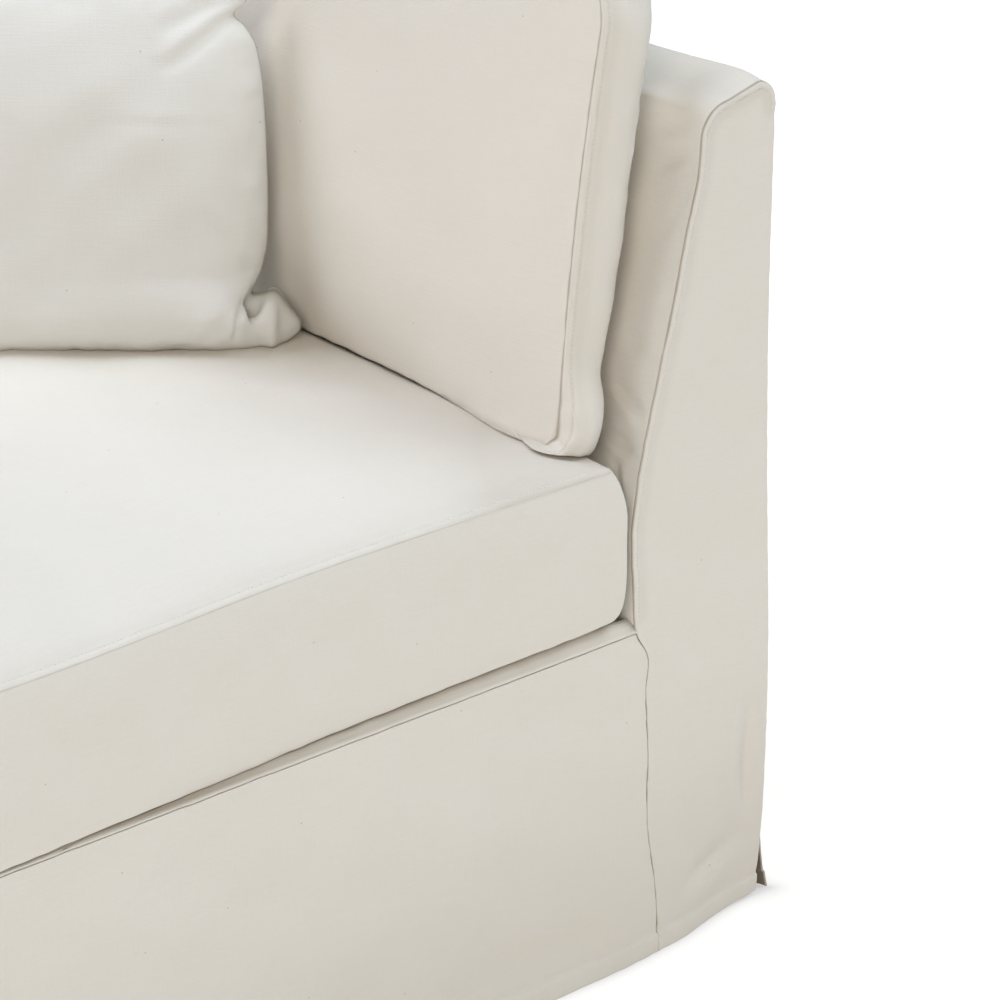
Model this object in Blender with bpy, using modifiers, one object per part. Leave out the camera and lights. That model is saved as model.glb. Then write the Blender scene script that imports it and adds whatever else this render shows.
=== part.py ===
"""Loose cover set for the corner unit of a sofa, in metres, +Z up.

The cover is hollow and open below: the seat unit that fills it is left out. Backs stand on the right (+X)
and at the rear (+Y); the front (-Y) and the left side (-X) are open. The origin is on the floor, under the
middle of the cover's box. Every panel is one thin sheet of cloth, and every cushion one filled solid.
"""
import math
from collections import namedtuple

import bmesh
import bpy
from mathutils import Euler, Matrix, Vector

# Cloth and the clearance that sewn edges keep
CLOTH = 0.0025
GAP = 0.0004
BUTT = CLOTH + GAP
REST_GAP = 0.0003
SEAM_GAP = 0.0014
WALL_GAP = 0.0012
MITRE_GAP = 0.0010

# The four faces of the seat unit, before the cloth flares away from them
RIGHT = 0.4682
LEFT = -0.4818
FRONT = -0.4525
REAR = 0.4335

# Seat deck
DECK_SEAM = 0.3292
DECK_TOP = 0.3365
DECK_ROLL = DECK_TOP - DECK_SEAM
DECK_EDGE_DEPTH = 0.1525

# Raked backs: how thick a back is at each height
Section = namedtuple("Section", "height depth")
BACK_SECTION = (
    Section(height=0.000, depth=0.1270),
    Section(height=0.065, depth=0.1280),
    Section(height=0.135, depth=0.1370),
    Section(height=0.205, depth=0.1355),
    Section(height=0.268, depth=0.1380),
    Section(height=0.300, depth=0.1360),
    Section(height=0.330, depth=0.1505),
    Section(height=0.362, depth=0.1540),
    Section(height=0.422, depth=0.1575),
    Section(height=0.457, depth=0.1540),
    Section(height=0.497, depth=0.1470),
    Section(height=0.579, depth=0.1266),
    Section(height=0.640, depth=0.1118),
    Section(height=0.697, depth=0.0992),
    Section(height=0.740, depth=0.0880),
    Section(height=0.770, depth=0.0854),
)
BACK_FOOT = 0.3345
INNER_CORNER = 0.030
INNER_CORNER_HEIGHT = 0.770
OUTER_CORNER = 0.020
OUTER_CORNER_HEIGHT = 0.786
END_PANEL_TOP = 0.8050
EAR_RISE = 0.0050
EAR_REACH = 0.030

# How far the outside panels hang clear of the frame at each height
Flare = namedtuple("Flare", "height out")
OUTSIDE_FLARE = (
    Flare(height=0.000, out=0.0145),
    Flare(height=0.095, out=0.0180),
    Flare(height=0.260, out=0.0145),
    Flare(height=0.450, out=0.0050),
    Flare(height=0.607, out=0.0000),
    Flare(height=0.806, out=0.0000),
)

# Hems of the two open sides: how far the hem swings out and lifts, by its distance from the outer corner
Hem = namedtuple("Hem", "along swing lift")
OPEN_SIDE_HEM = (
    Hem(along=-0.020, swing=-0.0075, lift=0.0040),
    Hem(along=0.031, swing=-0.0040, lift=0.0015),
    Hem(along=0.087, swing=0.0070, lift=0.0000),
    Hem(along=0.133, swing=0.0110, lift=0.0000),
    Hem(along=0.178, swing=0.0136, lift=0.0000),
    Hem(along=0.260, swing=0.0105, lift=0.0000),
    Hem(along=0.450, swing=0.0070, lift=0.0008),
    Hem(along=0.620, swing=0.0120, lift=0.0000),
    Hem(along=0.800, swing=0.0050, lift=0.0008),
    Hem(along=0.940, swing=-0.0040, lift=0.0015),
)
HEM_CLEAR = 0.0004
HEM_WAVE = 0.0035
HEM_WAVE_PITCH = 0.310
SWING_TOP = 0.300

# The corner vents, where the side panel's hem gapes away from the end panel
VENT_HEIGHT = 0.070
VENT_REACH = 0.090
VENT_OUT = 0.020

# How sharply a boxed cushion turns at its seams, from 0, round, to 1, sharp
SEAM_CREASE = 0.75

# Seat cushion, boxed; its seams stand this far inside the four faces
SEAT_SEAM = 0.4935
SEAT_BACK_DEPTH = 0.1780
SEAT_LEFT_INSET = 0.0040
SEAT_FRONT_INSET = 0.0010
SEAT_CROWN = 0.0100
SEAT_SHOULDER = 0.0130
SEAT_SIDE_BULGE = 0.0140
SEAT_DRAW = 0.0040
SEAT_FOOT_TUCK = 0.0120
SEAT_CORNER_LIFT = 0.0100

# Back cushion, boxed, leaning on the right back
BACK_LENGTH = 0.610
BACK_HEIGHT = 0.450
BACK_BOXING = 0.068
BACK_LEAN = math.radians(7.6)
BACK_START = 0.050
BACK_FOOT_DEPTH = 0.1690
BACK_FOOT_HEIGHT = 0.487
BACK_FACE_CROWN = 0.034
BACK_REAR_CROWN = 0.022
BACK_END_BULGE = 0.014
BACK_DRAW = 0.010
BACK_HEEL_TUCK = 0.014
BACK_CORNER_KICK = 0.024

# Knife-edge pillow, turned across the corner
PILLOW_HALF = 0.179
PILLOW_EDGE_BOW = 0.012
PILLOW_EAR = 0.036
PILLOW_EAR_LIFT = 0.045
PILLOW_FULLNESS = 0.150
PILLOW_SEAM = 0.006
PILLOW_SUNK = -0.72
PILLOW_HEADING = math.radians(-40.0)
PILLOW_LEAN = math.radians(-8.0)
PILLOW_FOOT_X = -0.388
PILLOW_FOOT_Y = 0.515
PILLOW_FOOT_HEIGHT = 0.474

COVER_COLOUR = (0.76, 0.73, 0.68, 1.0)
SHADE_COLOUR = (0.70, 0.67, 0.61, 1.0)
COLLECTION_NAME = "sofa_slipcover"


def clear_scene():
    """Removes what the scene holds."""
    for obj in list(bpy.data.objects):
        bpy.data.objects.remove(obj, do_unlink=True)


def curve_through(rows, place):
    """Value at place of a smooth curve through rows of (place, value), flat beyond both ends."""
    if place <= rows[0][0]:
        return rows[0][1]
    if place >= rows[-1][0]:
        return rows[-1][1]
    at = max(i for i in range(len(rows) - 1) if rows[i][0] <= place)
    here, after = rows[at], rows[at + 1]
    before = rows[max(at - 1, 0)]
    beyond = rows[min(at + 2, len(rows) - 1)]
    span = after[0] - here[0]
    slope_here = (after[1] - before[1]) / (after[0] - before[0])
    slope_after = (beyond[1] - here[1]) / (beyond[0] - here[0])
    s = (place - here[0]) / span
    return (
        (2 * s**3 - 3 * s**2 + 1) * here[1]
        + (s**3 - 2 * s**2 + s) * span * slope_here
        + (3 * s**2 - 2 * s**3) * after[1]
        + (s**3 - s**2) * span * slope_after
    )


def between(low, high, count):
    """count + 1 even stations from low to high."""
    return [low + (high - low) * i / count for i in range(count + 1)]


def fade_out(value, end):
    """1 at value 0, falling smoothly to 0 at end."""
    return max(0.0, 1 - value / end) ** 1.6


# ---- how the cloth hangs ----


def back_depth(height):
    """Thickness of a back at a height, its rounded inner top corner and the slope of its top included."""
    top_of_corner = INNER_CORNER_HEIGHT + INNER_CORNER
    corner_centre = BACK_SECTION[-1].depth - INNER_CORNER
    if height <= INNER_CORNER_HEIGHT:
        return curve_through(BACK_SECTION, height)
    if height < top_of_corner:
        return corner_centre + math.sqrt(INNER_CORNER**2 - (height - INNER_CORNER_HEIGHT) ** 2)
    crest = OUTER_CORNER_HEIGHT + OUTER_CORNER
    share = (height - top_of_corner) / (crest - top_of_corner)
    return corner_centre + (OUTER_CORNER - corner_centre) * share


def outside_inset(height):
    """How far the rounded outer top corner draws in from the outside face at a height."""
    if height <= OUTER_CORNER_HEIGHT:
        return 0.0
    rise = min(height - OUTER_CORNER_HEIGHT, OUTER_CORNER)
    return OUTER_CORNER - math.sqrt(OUTER_CORNER**2 - rise**2)


def outside_flare(height):
    """How far an outside panel stands clear of the frame at a height."""
    return curve_through([(row.height, row.out) for row in OUTSIDE_FLARE], height)


def open_side_swing(along, height):
    """How far an open side's cloth swings out, by distance from the outer corner and height."""
    hem = curve_through([(row.along, row.swing) for row in OPEN_SIDE_HEM], along)
    return hem * fade_out(height, SWING_TOP)


def open_side_lift(along):
    """Height of an open side's hem above the floor."""
    return max(0.0, curve_through([(row.along, row.lift) for row in OPEN_SIDE_HEM], along))


def hem_wave(along, height):
    """Slow vertical waves that grow towards the hem of an outside panel."""
    return HEM_WAVE * math.sin(2 * math.pi * along / HEM_WAVE_PITCH) * fade_out(height, OUTER_CORNER_HEIGHT)


def vent_out(from_corner, height):
    """How far a side panel gapes at a corner vent."""
    return VENT_OUT * fade_out(height, VENT_HEIGHT) * fade_out(max(from_corner, 0.0), VENT_REACH)


def ear_rise(from_end, height):
    """Small puff of a back's top just behind its end panel."""
    reach = from_end / EAR_REACH
    puff = EAR_RISE * reach * math.exp(1 - reach)
    share = min(max((height - INNER_CORNER_HEIGHT) / INNER_CORNER, 0.0), 1.0)
    return puff * share


def front_y(x, z):
    """Y of the front's outer surface."""
    return FRONT - open_side_swing(RIGHT - x, z)


def left_x(y, z):
    """X of the left side's outer surface."""
    return LEFT - open_side_swing(REAR - y, z)


def right_x(y, z):
    """X of the right outside's outer surface, its front vent included."""
    corner = FRONT + BUTT
    return RIGHT + outside_flare(z) + vent_out(y - corner, z) + hem_wave(y - corner, z) * wave_window(y, z)


def rear_y(x, z):
    """Y of the rear outside's outer surface, its vent on the left included."""
    corner = LEFT + BUTT
    return REAR + outside_flare(z) + vent_out(x - corner, z) + hem_wave(x - corner, z) * wave_window(x, z)


def wave_window(along, height):
    """Lets an outside panel's waves die out at its two ends and at its top seam."""
    ends = min(along - FRONT, REAR - along) / VENT_REACH
    top = (OUTER_CORNER_HEIGHT - height) / OUTER_CORNER_HEIGHT
    return min(max(ends, 0.0), 1.0) * min(max(top, 0.0), 1.0)


# ---- making pieces ----


def fabric(name, colour):
    """Plain woven cotton-linen."""
    material = bpy.data.materials.new(name)
    material.use_nodes = True
    shader = material.node_tree.nodes["Principled BSDF"]
    shader.inputs["Base Color"].default_value = colour
    shader.inputs["Roughness"].default_value = 0.9
    shader.inputs["Metallic"].default_value = 0.0
    return material


def add_object(name, mesh, collection, material):
    """Object for a mesh, shaded smooth, in the cover's collection."""
    mesh.materials.append(material)
    mesh.shade_smooth()
    obj = bpy.data.objects.new(name, mesh)
    collection.objects.link(obj)
    return obj


def cloth_sheet(name, columns, rows, place, collection, colour=COVER_COLOUR):
    """Sheet of cloth on a grid; place(column, row) gives the outer surface, whose outside faces up the normal."""
    bm = bmesh.new()
    bmesh.ops.create_grid(bm, x_segments=columns, y_segments=rows, size=0.5)
    for vert in bm.verts:
        column = round((vert.co.x + 0.5) * columns)
        row = round((vert.co.y + 0.5) * rows)
        vert.co = Vector(place(column, row))
    mesh = bpy.data.meshes.new(name)
    bm.to_mesh(mesh)
    bm.free()
    obj = add_object(name, mesh, collection, fabric(name, colour))
    thickness = obj.modifiers.new("cloth", "SOLIDIFY")
    thickness.thickness = CLOTH
    thickness.offset = -1.0
    thickness.use_even_offset = True
    return obj


def is_seam(edge):
    """True for a cube's own twelve edges, which become a boxed cushion's seams and corners."""
    middle = (edge.verts[0].co + edge.verts[1].co) / 2
    return sum(abs(abs(value) - 1) < 1e-6 for value in middle) == 2


def filled_cage(name, cuts, shape, collection, seam_crease=0.0, colour=COVER_COLOUR):
    """Cushion from a cube cut into cuts = (across, along, up) cells; shape(a, b, c) moves each point."""
    bm = bmesh.new()
    bmesh.ops.create_cube(bm, size=2.0)
    for axis, count in enumerate(cuts):
        normal = Vector([1.0 if k == axis else 0.0 for k in range(3)])
        for station in between(-1.0, 1.0, count)[1:-1]:
            geometry = bm.verts[:] + bm.edges[:] + bm.faces[:]
            bmesh.ops.bisect_plane(bm, geom=geometry, plane_co=normal * station, plane_no=normal)
    creases = bm.edges.layers.float.new("crease_edge")
    for edge in bm.edges:
        edge[creases] = seam_crease if is_seam(edge) else 0.0
    for vert in bm.verts:
        vert.co = Vector(shape(*vert.co))
    mesh = bpy.data.meshes.new(name)
    bm.to_mesh(mesh)
    bm.free()
    obj = add_object(name, mesh, collection, fabric(name, colour))
    smooth = obj.modifiers.new("filling", "SUBSURF")
    smooth.levels = 1
    smooth.render_levels = 1
    return obj


# ---- panels ----

END_HEIGHTS = [HEM_CLEAR, 0.030, 0.070, 0.120, 0.180, 0.240, 0.285, 0.308, 0.330, 0.360, 0.420, 0.460, 0.500]
END_HEIGHTS += [0.560, 0.620, 0.680, 0.730, 0.768, 0.783, 0.793, 0.799, END_PANEL_TOP]
BASE_HEIGHTS = [HEM_CLEAR, 0.030, 0.070, 0.120, 0.180, 0.240, 0.285, 0.308, DECK_SEAM - SEAM_GAP]
OUTSIDE_HEIGHTS = [HEM_CLEAR, 0.030, 0.065, 0.110, 0.180, 0.270, 0.380, 0.500, 0.640, OUTER_CORNER_HEIGHT - SEAM_GAP]


def hem_height(height, lift):
    """Station height with the hem lifted and the cloth above it following for a short way."""
    return height + lift * fade_out(height, VENT_HEIGHT)


def base_panel(name, columns, station, hangs, collection):
    """Panel of an open side's base; station(share, height) runs along the side, hangs(along, height) is 3D."""

    def place(column, row):
        z = BASE_HEIGHTS[row]
        return hangs(station(column / columns, z), z)

    return cloth_sheet(name, columns, len(BASE_HEIGHTS) - 1, place, collection)


def front_point(x, z):
    """Point of the front's surface, its hem lifted as the hem table says."""
    return x, front_y(x, z), hem_height(z, open_side_lift(RIGHT - x))


def left_point(y, z):
    """Point of the left side's surface, its hem lifted as the hem table says."""
    return left_x(y, z), y, hem_height(z, open_side_lift(REAR - y))


def make_front_panel(collection):
    """Base front: covers the left base panel's edge at the open corner, ends at the right back's seam."""

    def station(share, z):
        low = left_x(FRONT, z)
        high = RIGHT - back_depth(z) - GAP
        return low + (high - low) * share

    return base_panel("front_panel", 12, station, front_point, collection)


def make_left_base_panel(collection):
    """Base panel of the open left side, from the rear back's seam forward to the open corner's vent."""

    def station(share, z):
        high = REAR - back_depth(z) - GAP
        low = front_y(LEFT, z) + BUTT
        return high + (low - high) * share

    def hangs(y, z):
        x, y, lifted = left_point(y, z)
        return x - vent_out(y - FRONT - BUTT, z), y, lifted

    return base_panel("left_base_panel", 12, station, hangs, collection)


def end_depths(share, z):
    """Depth into the back, measured from its outside, at a share of an end panel's width."""
    inner = back_depth(z)
    outer = outside_inset(z) - outside_flare(z)
    return inner + (outer - inner) * share


def make_right_end_panel(collection):
    """End of the right back, facing the front, cut to the raked profile."""
    columns = 6

    def place(column, row):
        z = END_HEIGHTS[row]
        return front_point(RIGHT - end_depths(column / columns, z), z)

    return cloth_sheet("right_end_panel", columns, len(END_HEIGHTS) - 1, place, collection)


def make_left_end_panel(collection):
    """End of the rear back, facing the open left side."""
    columns = 6

    def place(column, row):
        z = END_HEIGHTS[row]
        return left_point(REAR - end_depths(1 - column / columns, z), z)

    return cloth_sheet("left_end_panel", columns, len(END_HEIGHTS) - 1, place, collection)


def make_right_outside_panel(collection):
    """Outside of the right back, from the front vent to the rear corner."""
    columns = 12

    def place(column, row):
        z = OUTSIDE_HEIGHTS[row]
        low = front_y(RIGHT + outside_flare(z), z) + BUTT
        high = rear_y(RIGHT, z) - BUTT
        y = low + (high - low) * (column / columns)
        return right_x(y, z), y, z

    return cloth_sheet("right_outside_panel", columns, len(OUTSIDE_HEIGHTS) - 1, place, collection)


def make_rear_outside_panel(collection):
    """Outside of the rear back; it covers the right outside panel's edge at the rear corner."""
    columns = 12

    def place(column, row):
        z = OUTSIDE_HEIGHTS[row]
        low = left_x(REAR + outside_flare(z), z) + BUTT
        high = right_x(REAR, z)
        x = high + (low - high) * (column / columns)
        return x, rear_y(x, z), z

    return cloth_sheet("rear_outside_panel", columns, len(OUTSIDE_HEIGHTS) - 1, place, collection)


def back_path():
    """(depth, height) points of a back's cloth, up its inside face, over its top and down to the outside seam."""
    face = [BACK_FOOT, 0.362, 0.395, 0.422, 0.457, 0.497, 0.540, 0.579, 0.640, 0.697, 0.740]
    points = [(back_depth(z), z) for z in face]
    centre = BACK_SECTION[-1].depth - INNER_CORNER
    for angle in between(0.0, math.pi / 2, 4):
        points.append((centre + INNER_CORNER * math.cos(angle), INNER_CORNER_HEIGHT + INNER_CORNER * math.sin(angle)))
    middle = (centre + OUTER_CORNER) / 2
    points.append((middle, back_top(middle)))
    for angle in between(math.pi / 2, math.pi, 4):
        depth = OUTER_CORNER + OUTER_CORNER * math.cos(angle)
        points.append((depth, OUTER_CORNER_HEIGHT + OUTER_CORNER * math.sin(angle)))
    return points


def back_top(depth):
    """Height of a back's gently sloping top between its two rounded corners."""
    low = BACK_SECTION[-1].depth - INNER_CORNER
    low_height = INNER_CORNER_HEIGHT + INNER_CORNER
    crest = OUTER_CORNER_HEIGHT + OUTER_CORNER
    return low_height + (crest - low_height) * (low - depth) / (low - OUTER_CORNER)


def outward_share(depth, z):
    """How much a back's cloth faces outward on its rounded outer corner, 0 on top to 1 at the outside seam."""
    if z < OUTER_CORNER_HEIGHT - GAP or depth > OUTER_CORNER:
        return 0.0
    return (OUTER_CORNER - depth) / OUTER_CORNER


def make_right_inside_back(collection):
    """Raked inside face and rounded top of the right back; the rear back's cloth laps its outer corner."""
    path = back_path()
    columns = 8

    def place(column, row):
        depth, z = path[row]
        low = front_y(RIGHT - depth, z) + BUTT
        high = REAR - depth - MITRE_GAP - BUTT * outward_share(depth, z)
        y = high + (low - high) * (column / columns)
        return RIGHT - depth, y, z + ear_rise(y - low, z)

    return cloth_sheet("right_inside_back", columns, len(path) - 1, place, collection)


def make_rear_inside_back(collection):
    """Raked inside face and rounded top of the rear back, mitred at the rear corner."""
    path = back_path()
    columns = 8

    def place(column, row):
        depth, z = path[row]
        low = left_x(REAR - depth, z) + BUTT
        high = RIGHT - depth - MITRE_GAP
        x = low + (high - low) * (column / columns)
        return x, REAR - depth, z + ear_rise(x - low, z)

    return cloth_sheet("rear_inside_back", columns, len(path) - 1, place, collection)


def rolled_stations(edge, far, count):
    """(position, drop) stations from a rolled edge to a plain one: a quarter-round, then even steps."""
    turns = between(0.0, math.pi / 2, 3)
    roll = [(edge + DECK_ROLL * (1 - math.cos(a)), DECK_ROLL * (1 - math.sin(a))) for a in turns]
    flat = [(place, 0.0) for place in between(roll[-1][0], far, count)[1:]]
    return roll + flat


def make_deck_panel(collection):
    """Deck under the seat cushion, rolled down to the base seam along its front and left edges."""
    across = rolled_stations(LEFT, RIGHT - DECK_EDGE_DEPTH, 6)
    along = rolled_stations(FRONT, REAR - DECK_EDGE_DEPTH, 6)

    def place(column, row):
        x, side_drop = across[column]
        y, front_drop = along[row]
        return x, y, DECK_TOP - max(side_drop, front_drop)

    return cloth_sheet("deck_panel", len(across) - 1, len(along) - 1, place, collection, SHADE_COLOUR)


# ---- filled pieces ----


def seat_top(a, b):
    """Height of the seat cushion's crown at shares a across and b along, both from -1 to 1."""
    crown = SEAT_CROWN * (1 - abs(a) ** 4) * (1 - abs(b) ** 4)
    shoulder = SEAT_SHOULDER * (1 - abs(a) ** 14) * (1 - abs(b) ** 14)
    return SEAT_SEAM + crown + shoulder


SEAT_LOW = Vector((LEFT + SEAT_LEFT_INSET, FRONT + SEAT_FRONT_INSET))
SEAT_HIGH = Vector((RIGHT - SEAT_BACK_DEPTH, REAR - SEAT_BACK_DEPTH))
SEAT_MIDDLE = (SEAT_LOW + SEAT_HIGH) / 2
SEAT_HALF = (SEAT_HIGH - SEAT_LOW) / 2
SEAT_CELLS = 8
SEAT_STEP = 2 / SEAT_CELLS


def cell_and_share(value):
    """Lower station of the seat cushion's cage below a value from -1 to 1, and the share of the way on."""
    steps = (min(max(value, -1.0), 1.0) + 1) / SEAT_STEP
    lower = min(int(steps), SEAT_CELLS - 1)
    return lower * SEAT_STEP - 1, steps - lower


def seat_height_at(x, y):
    """Height of the seat cushion's top under a point, straight between its stations."""
    a, across = cell_and_share((x - SEAT_MIDDLE.x) / SEAT_HALF.x)
    b, along = cell_and_share((y - SEAT_MIDDLE.y) / SEAT_HALF.y)
    near = seat_top(a, b) * (1 - across) + seat_top(a + SEAT_STEP, b) * across
    far = seat_top(a, b + SEAT_STEP) * (1 - across) + seat_top(a + SEAT_STEP, b + SEAT_STEP) * across
    return near * (1 - along) + far * along


def make_seat_cushion(collection):
    """Boxed seat cushion: crowned top, sides that bulge at mid height and draw in between corners."""
    foot = DECK_TOP + REST_GAP

    def shape(a, b, c):
        foot_share = max(-c, 0.0) ** 6
        bulge = SEAT_SIDE_BULGE * (1 - abs(c) ** 3) - SEAT_FOOT_TUCK * foot_share
        reach_x = SEAT_HALF.x + bulge - SEAT_DRAW * (1 - b * b)
        reach_y = SEAT_HALF.y + bulge * 0.6 - SEAT_DRAW * (1 - a * a)
        top = seat_top(a, b)
        z = foot + (top - foot) * (c + 1) / 2 + SEAT_CORNER_LIFT * foot_share * abs(a * b) ** 10
        return a * reach_x, b * reach_y, z

    obj = filled_cage("seat_cushion", (SEAT_CELLS, SEAT_CELLS, 4), shape, collection, SEAM_CREASE)
    obj.location = (SEAT_MIDDLE.x, SEAT_MIDDLE.y, 0.0)
    return obj


def foot_shift(a, b, c):
    """How far the back cushion's foot is pushed forward: its heel tucked in, its front corner kicked out."""
    if a > 0:
        return BACK_HEEL_TUCK * a * max(-c, 0.0) ** 6
    corner = math.exp(-(((b + 1) / 0.3) ** 2))
    return BACK_CORNER_KICK * corner * abs(a) * max(-c, 0.0) ** 4


def make_back_cushion(collection):
    """Boxed back cushion, leaning on the right back and standing on the seat."""
    place = Vector((RIGHT - BACK_FOOT_DEPTH, FRONT + BACK_START + BACK_LENGTH / 2, BACK_FOOT_HEIGHT))
    turn = Euler((0.0, BACK_LEAN, 0.0))
    stand = Matrix.Translation(place) @ turn.to_matrix().to_4x4()
    back = stand.inverted()

    def shape(a, b, c):
        across = (1 - abs(b) ** 3) * (1 - abs(c) ** 3)
        crown = BACK_REAR_CROWN if a > 0 else BACK_FACE_CROWN
        x = a * (BACK_BOXING / 2 + crown * across) - foot_shift(a, b, c)
        end = BACK_END_BULGE * (1 - a * a) * (1 - c**4)
        y = b * (BACK_LENGTH / 2 + end - BACK_DRAW * (1 - c * c))
        rise = BACK_HEIGHT / 2
        z = rise + c * (rise + BACK_END_BULGE * (1 - a * a) * (1 - b**4) - BACK_DRAW * (1 - b * b))
        spot = stand @ Vector((x, y, z))
        spot.x = min(spot.x, RIGHT - back_depth(min(spot.z, INNER_CORNER_HEIGHT)) - WALL_GAP)
        spot.z = max(spot.z, seat_height_at(spot.x, spot.y) + REST_GAP)
        return back @ spot

    obj = filled_cage("back_cushion", (2, 8, 6), shape, collection, SEAM_CREASE)
    obj.location = place
    obj.rotation_euler = turn
    return obj


def pillow_reach(share):
    """Distance from the pillow's middle to an edge, at a share along that edge: bowed, with an ear at each end."""
    return PILLOW_HALF - PILLOW_EDGE_BOW * share**2 + PILLOW_EAR * share**6


def make_corner_pillow(collection):
    """Knife-edge pillow: full in the middle and flat at its seam, with an ear at each corner."""
    place = Vector((PILLOW_FOOT_X + RIGHT, PILLOW_FOOT_Y + FRONT, PILLOW_FOOT_HEIGHT))
    turn = Euler((PILLOW_LEAN, 0.0, PILLOW_HEADING))
    stand = Matrix.Translation(place) @ turn.to_matrix().to_4x4()
    back = stand.inverted()
    tallest = pillow_reach(1.0)

    def shape(a, b, c):
        full = ((1 - abs(a) ** 2.4) * (1 - abs(max(c, PILLOW_SUNK)) ** 2.4)) ** 0.6
        y = b * (PILLOW_SEAM + PILLOW_FULLNESS * full) / 2
        lift = PILLOW_EAR_LIFT * abs(a) ** 8 * max(-c, 0.0)
        spot = stand @ Vector((a * pillow_reach(c), y, tallest + c * pillow_reach(a) + lift))
        spot.z = max(spot.z, seat_height_at(spot.x, spot.y) + REST_GAP)
        return back @ spot

    obj = filled_cage("corner_pillow", (8, 2, 8), shape, collection, SEAM_CREASE)
    obj.location = place
    obj.rotation_euler = turn
    return obj


def main():
    """Builds every piece of the cover set."""
    clear_scene()
    collection = bpy.data.collections.new(COLLECTION_NAME)
    bpy.context.scene.collection.children.link(collection)
    makers = (
        make_front_panel,
        make_left_base_panel,
        make_right_end_panel,
        make_left_end_panel,
        make_right_outside_panel,
        make_rear_outside_panel,
        make_right_inside_back,
        make_rear_inside_back,
        make_deck_panel,
        make_seat_cushion,
        make_back_cushion,
        make_corner_pillow,
    )
    for make in makers:
        make(collection)


main()
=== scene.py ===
"""Dresses the loose cover of a sofa's corner unit: sewn cloth panels, boxed cushions, a knife-edge pillow.

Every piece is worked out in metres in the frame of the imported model, +Z up, with its place in its mesh.
"""

from __future__ import annotations

import logging
import math
from dataclasses import dataclass
from enum import Enum
from typing import Sequence

import bpy
import numpy as np
from mathutils import Euler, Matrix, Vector


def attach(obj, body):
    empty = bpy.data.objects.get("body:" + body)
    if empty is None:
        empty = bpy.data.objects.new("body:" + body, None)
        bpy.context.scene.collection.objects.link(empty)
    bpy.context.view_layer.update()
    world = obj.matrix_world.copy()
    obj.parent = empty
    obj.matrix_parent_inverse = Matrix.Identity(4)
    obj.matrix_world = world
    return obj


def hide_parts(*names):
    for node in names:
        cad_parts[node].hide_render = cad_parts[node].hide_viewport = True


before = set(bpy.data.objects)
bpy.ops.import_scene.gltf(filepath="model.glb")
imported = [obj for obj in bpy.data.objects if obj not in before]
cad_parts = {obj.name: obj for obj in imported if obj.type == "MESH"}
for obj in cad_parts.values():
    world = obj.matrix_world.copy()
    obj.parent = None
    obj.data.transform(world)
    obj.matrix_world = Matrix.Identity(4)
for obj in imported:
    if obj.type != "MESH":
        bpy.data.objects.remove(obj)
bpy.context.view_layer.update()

Array = np.ndarray
Material = bpy.types.Material
Piece = bpy.types.Object
Pair = tuple[float, float]
Triple = tuple[float, float, float]
Colour = tuple[float, float, float, float]
Arrays = tuple[Array, Array]
Rows = Sequence[Pair]

LOG = logging.getLogger("loose_cover")
BODY = "root"
WEAVE_UV = "weave"
SHADE_LAYER = "seam_shade"

CLOTH_THICKNESS = 0.0018
# Painted shade on the hung panels: deepest at the floor, fading out upwards.
FOOT_SHADE = 0.30
FOOT_SHADE_HEIGHT = 0.17
QUARTER = math.pi / 2
TINY = 1e-9


# ---- curves and relief, worked on whole arrays ----


def smooth_curve(rows: Rows, at: Array) -> Array:
    """Smooth curve through a table, flat beyond both ends.

    Cubic Hermite pieces whose slope at each station is the slope between its two neighbours.

    Args:
        rows: (place, value) pairs, places rising.
        at: Places to read the curve at.

    Returns:
        The curve's value at each place.
    """
    x, y = np.array(rows, dtype=float).T
    slope = np.empty_like(y)
    slope[1:-1] = (y[2:] - y[:-2]) / (x[2:] - x[:-2])
    slope[0] = (y[1] - y[0]) / (x[1] - x[0])
    slope[-1] = (y[-1] - y[-2]) / (x[-1] - x[-2])
    at = np.clip(at, x[0], x[-1])
    k = np.clip(np.searchsorted(x, at, side="right") - 1, 0, len(x) - 2)
    span = x[k + 1] - x[k]
    s = (at - x[k]) / span
    s2, s3 = s * s, s * s * s
    start = (2 * s3 - 3 * s2 + 1) * y[k] + (s3 - 2 * s2 + s) * span * slope[k]
    return start + (3 * s2 - 2 * s3) * y[k + 1] + (s3 - s2) * span * slope[k + 1]


def smooth_step(low: float, high: float, at: Array) -> Array:
    """0 below low, 1 above high, with a smooth S between them."""
    t = np.clip((at - low) / (high - low), 0.0, 1.0)
    return t * t * (3 - 2 * t)


def hill(distance: Array, width: float) -> Array:
    """Bell curve: 1 at distance 0, near 0 past twice the width."""
    return np.exp(-((distance / width) ** 2))


FADE_POWER = 1.6


def fade_out(value: Array, end: float) -> Array:
    """1 at value 0, falling smoothly to 0 at end."""
    return np.clip(1 - value / end, 0.0, None) ** FADE_POWER


def unit(vectors: Array) -> Array:
    """The same directions, each of length 1."""
    return vectors / np.maximum(np.linalg.norm(vectors, axis=-1, keepdims=True), TINY)


def lengths_along(path: Array) -> Array:
    """Length of a polyline from its start to each of its corners."""
    return np.concatenate([[0.0], np.cumsum(np.linalg.norm(np.diff(path, axis=0), axis=1))])


def resampled(path: Array, places: Array, values: Array | None = None) -> Array:
    """Points of a polyline at given lengths along it, or the values that its corners carry."""
    lengths, carried = lengths_along(path), path if values is None else values
    return np.stack([np.interp(places, lengths, column) for column in carried.T], axis=1)


FINE_STEPS = 0.001 * np.array(
    [0.0, 0.5, 0.9, 1.4, 2.0, 2.8, 3.7, 4.6, 5.3, 5.8, 6.3, 6.9, 7.9, 9.5, 12.0, 15.5, 18.4, 19.4, 22.5]
)


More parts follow.
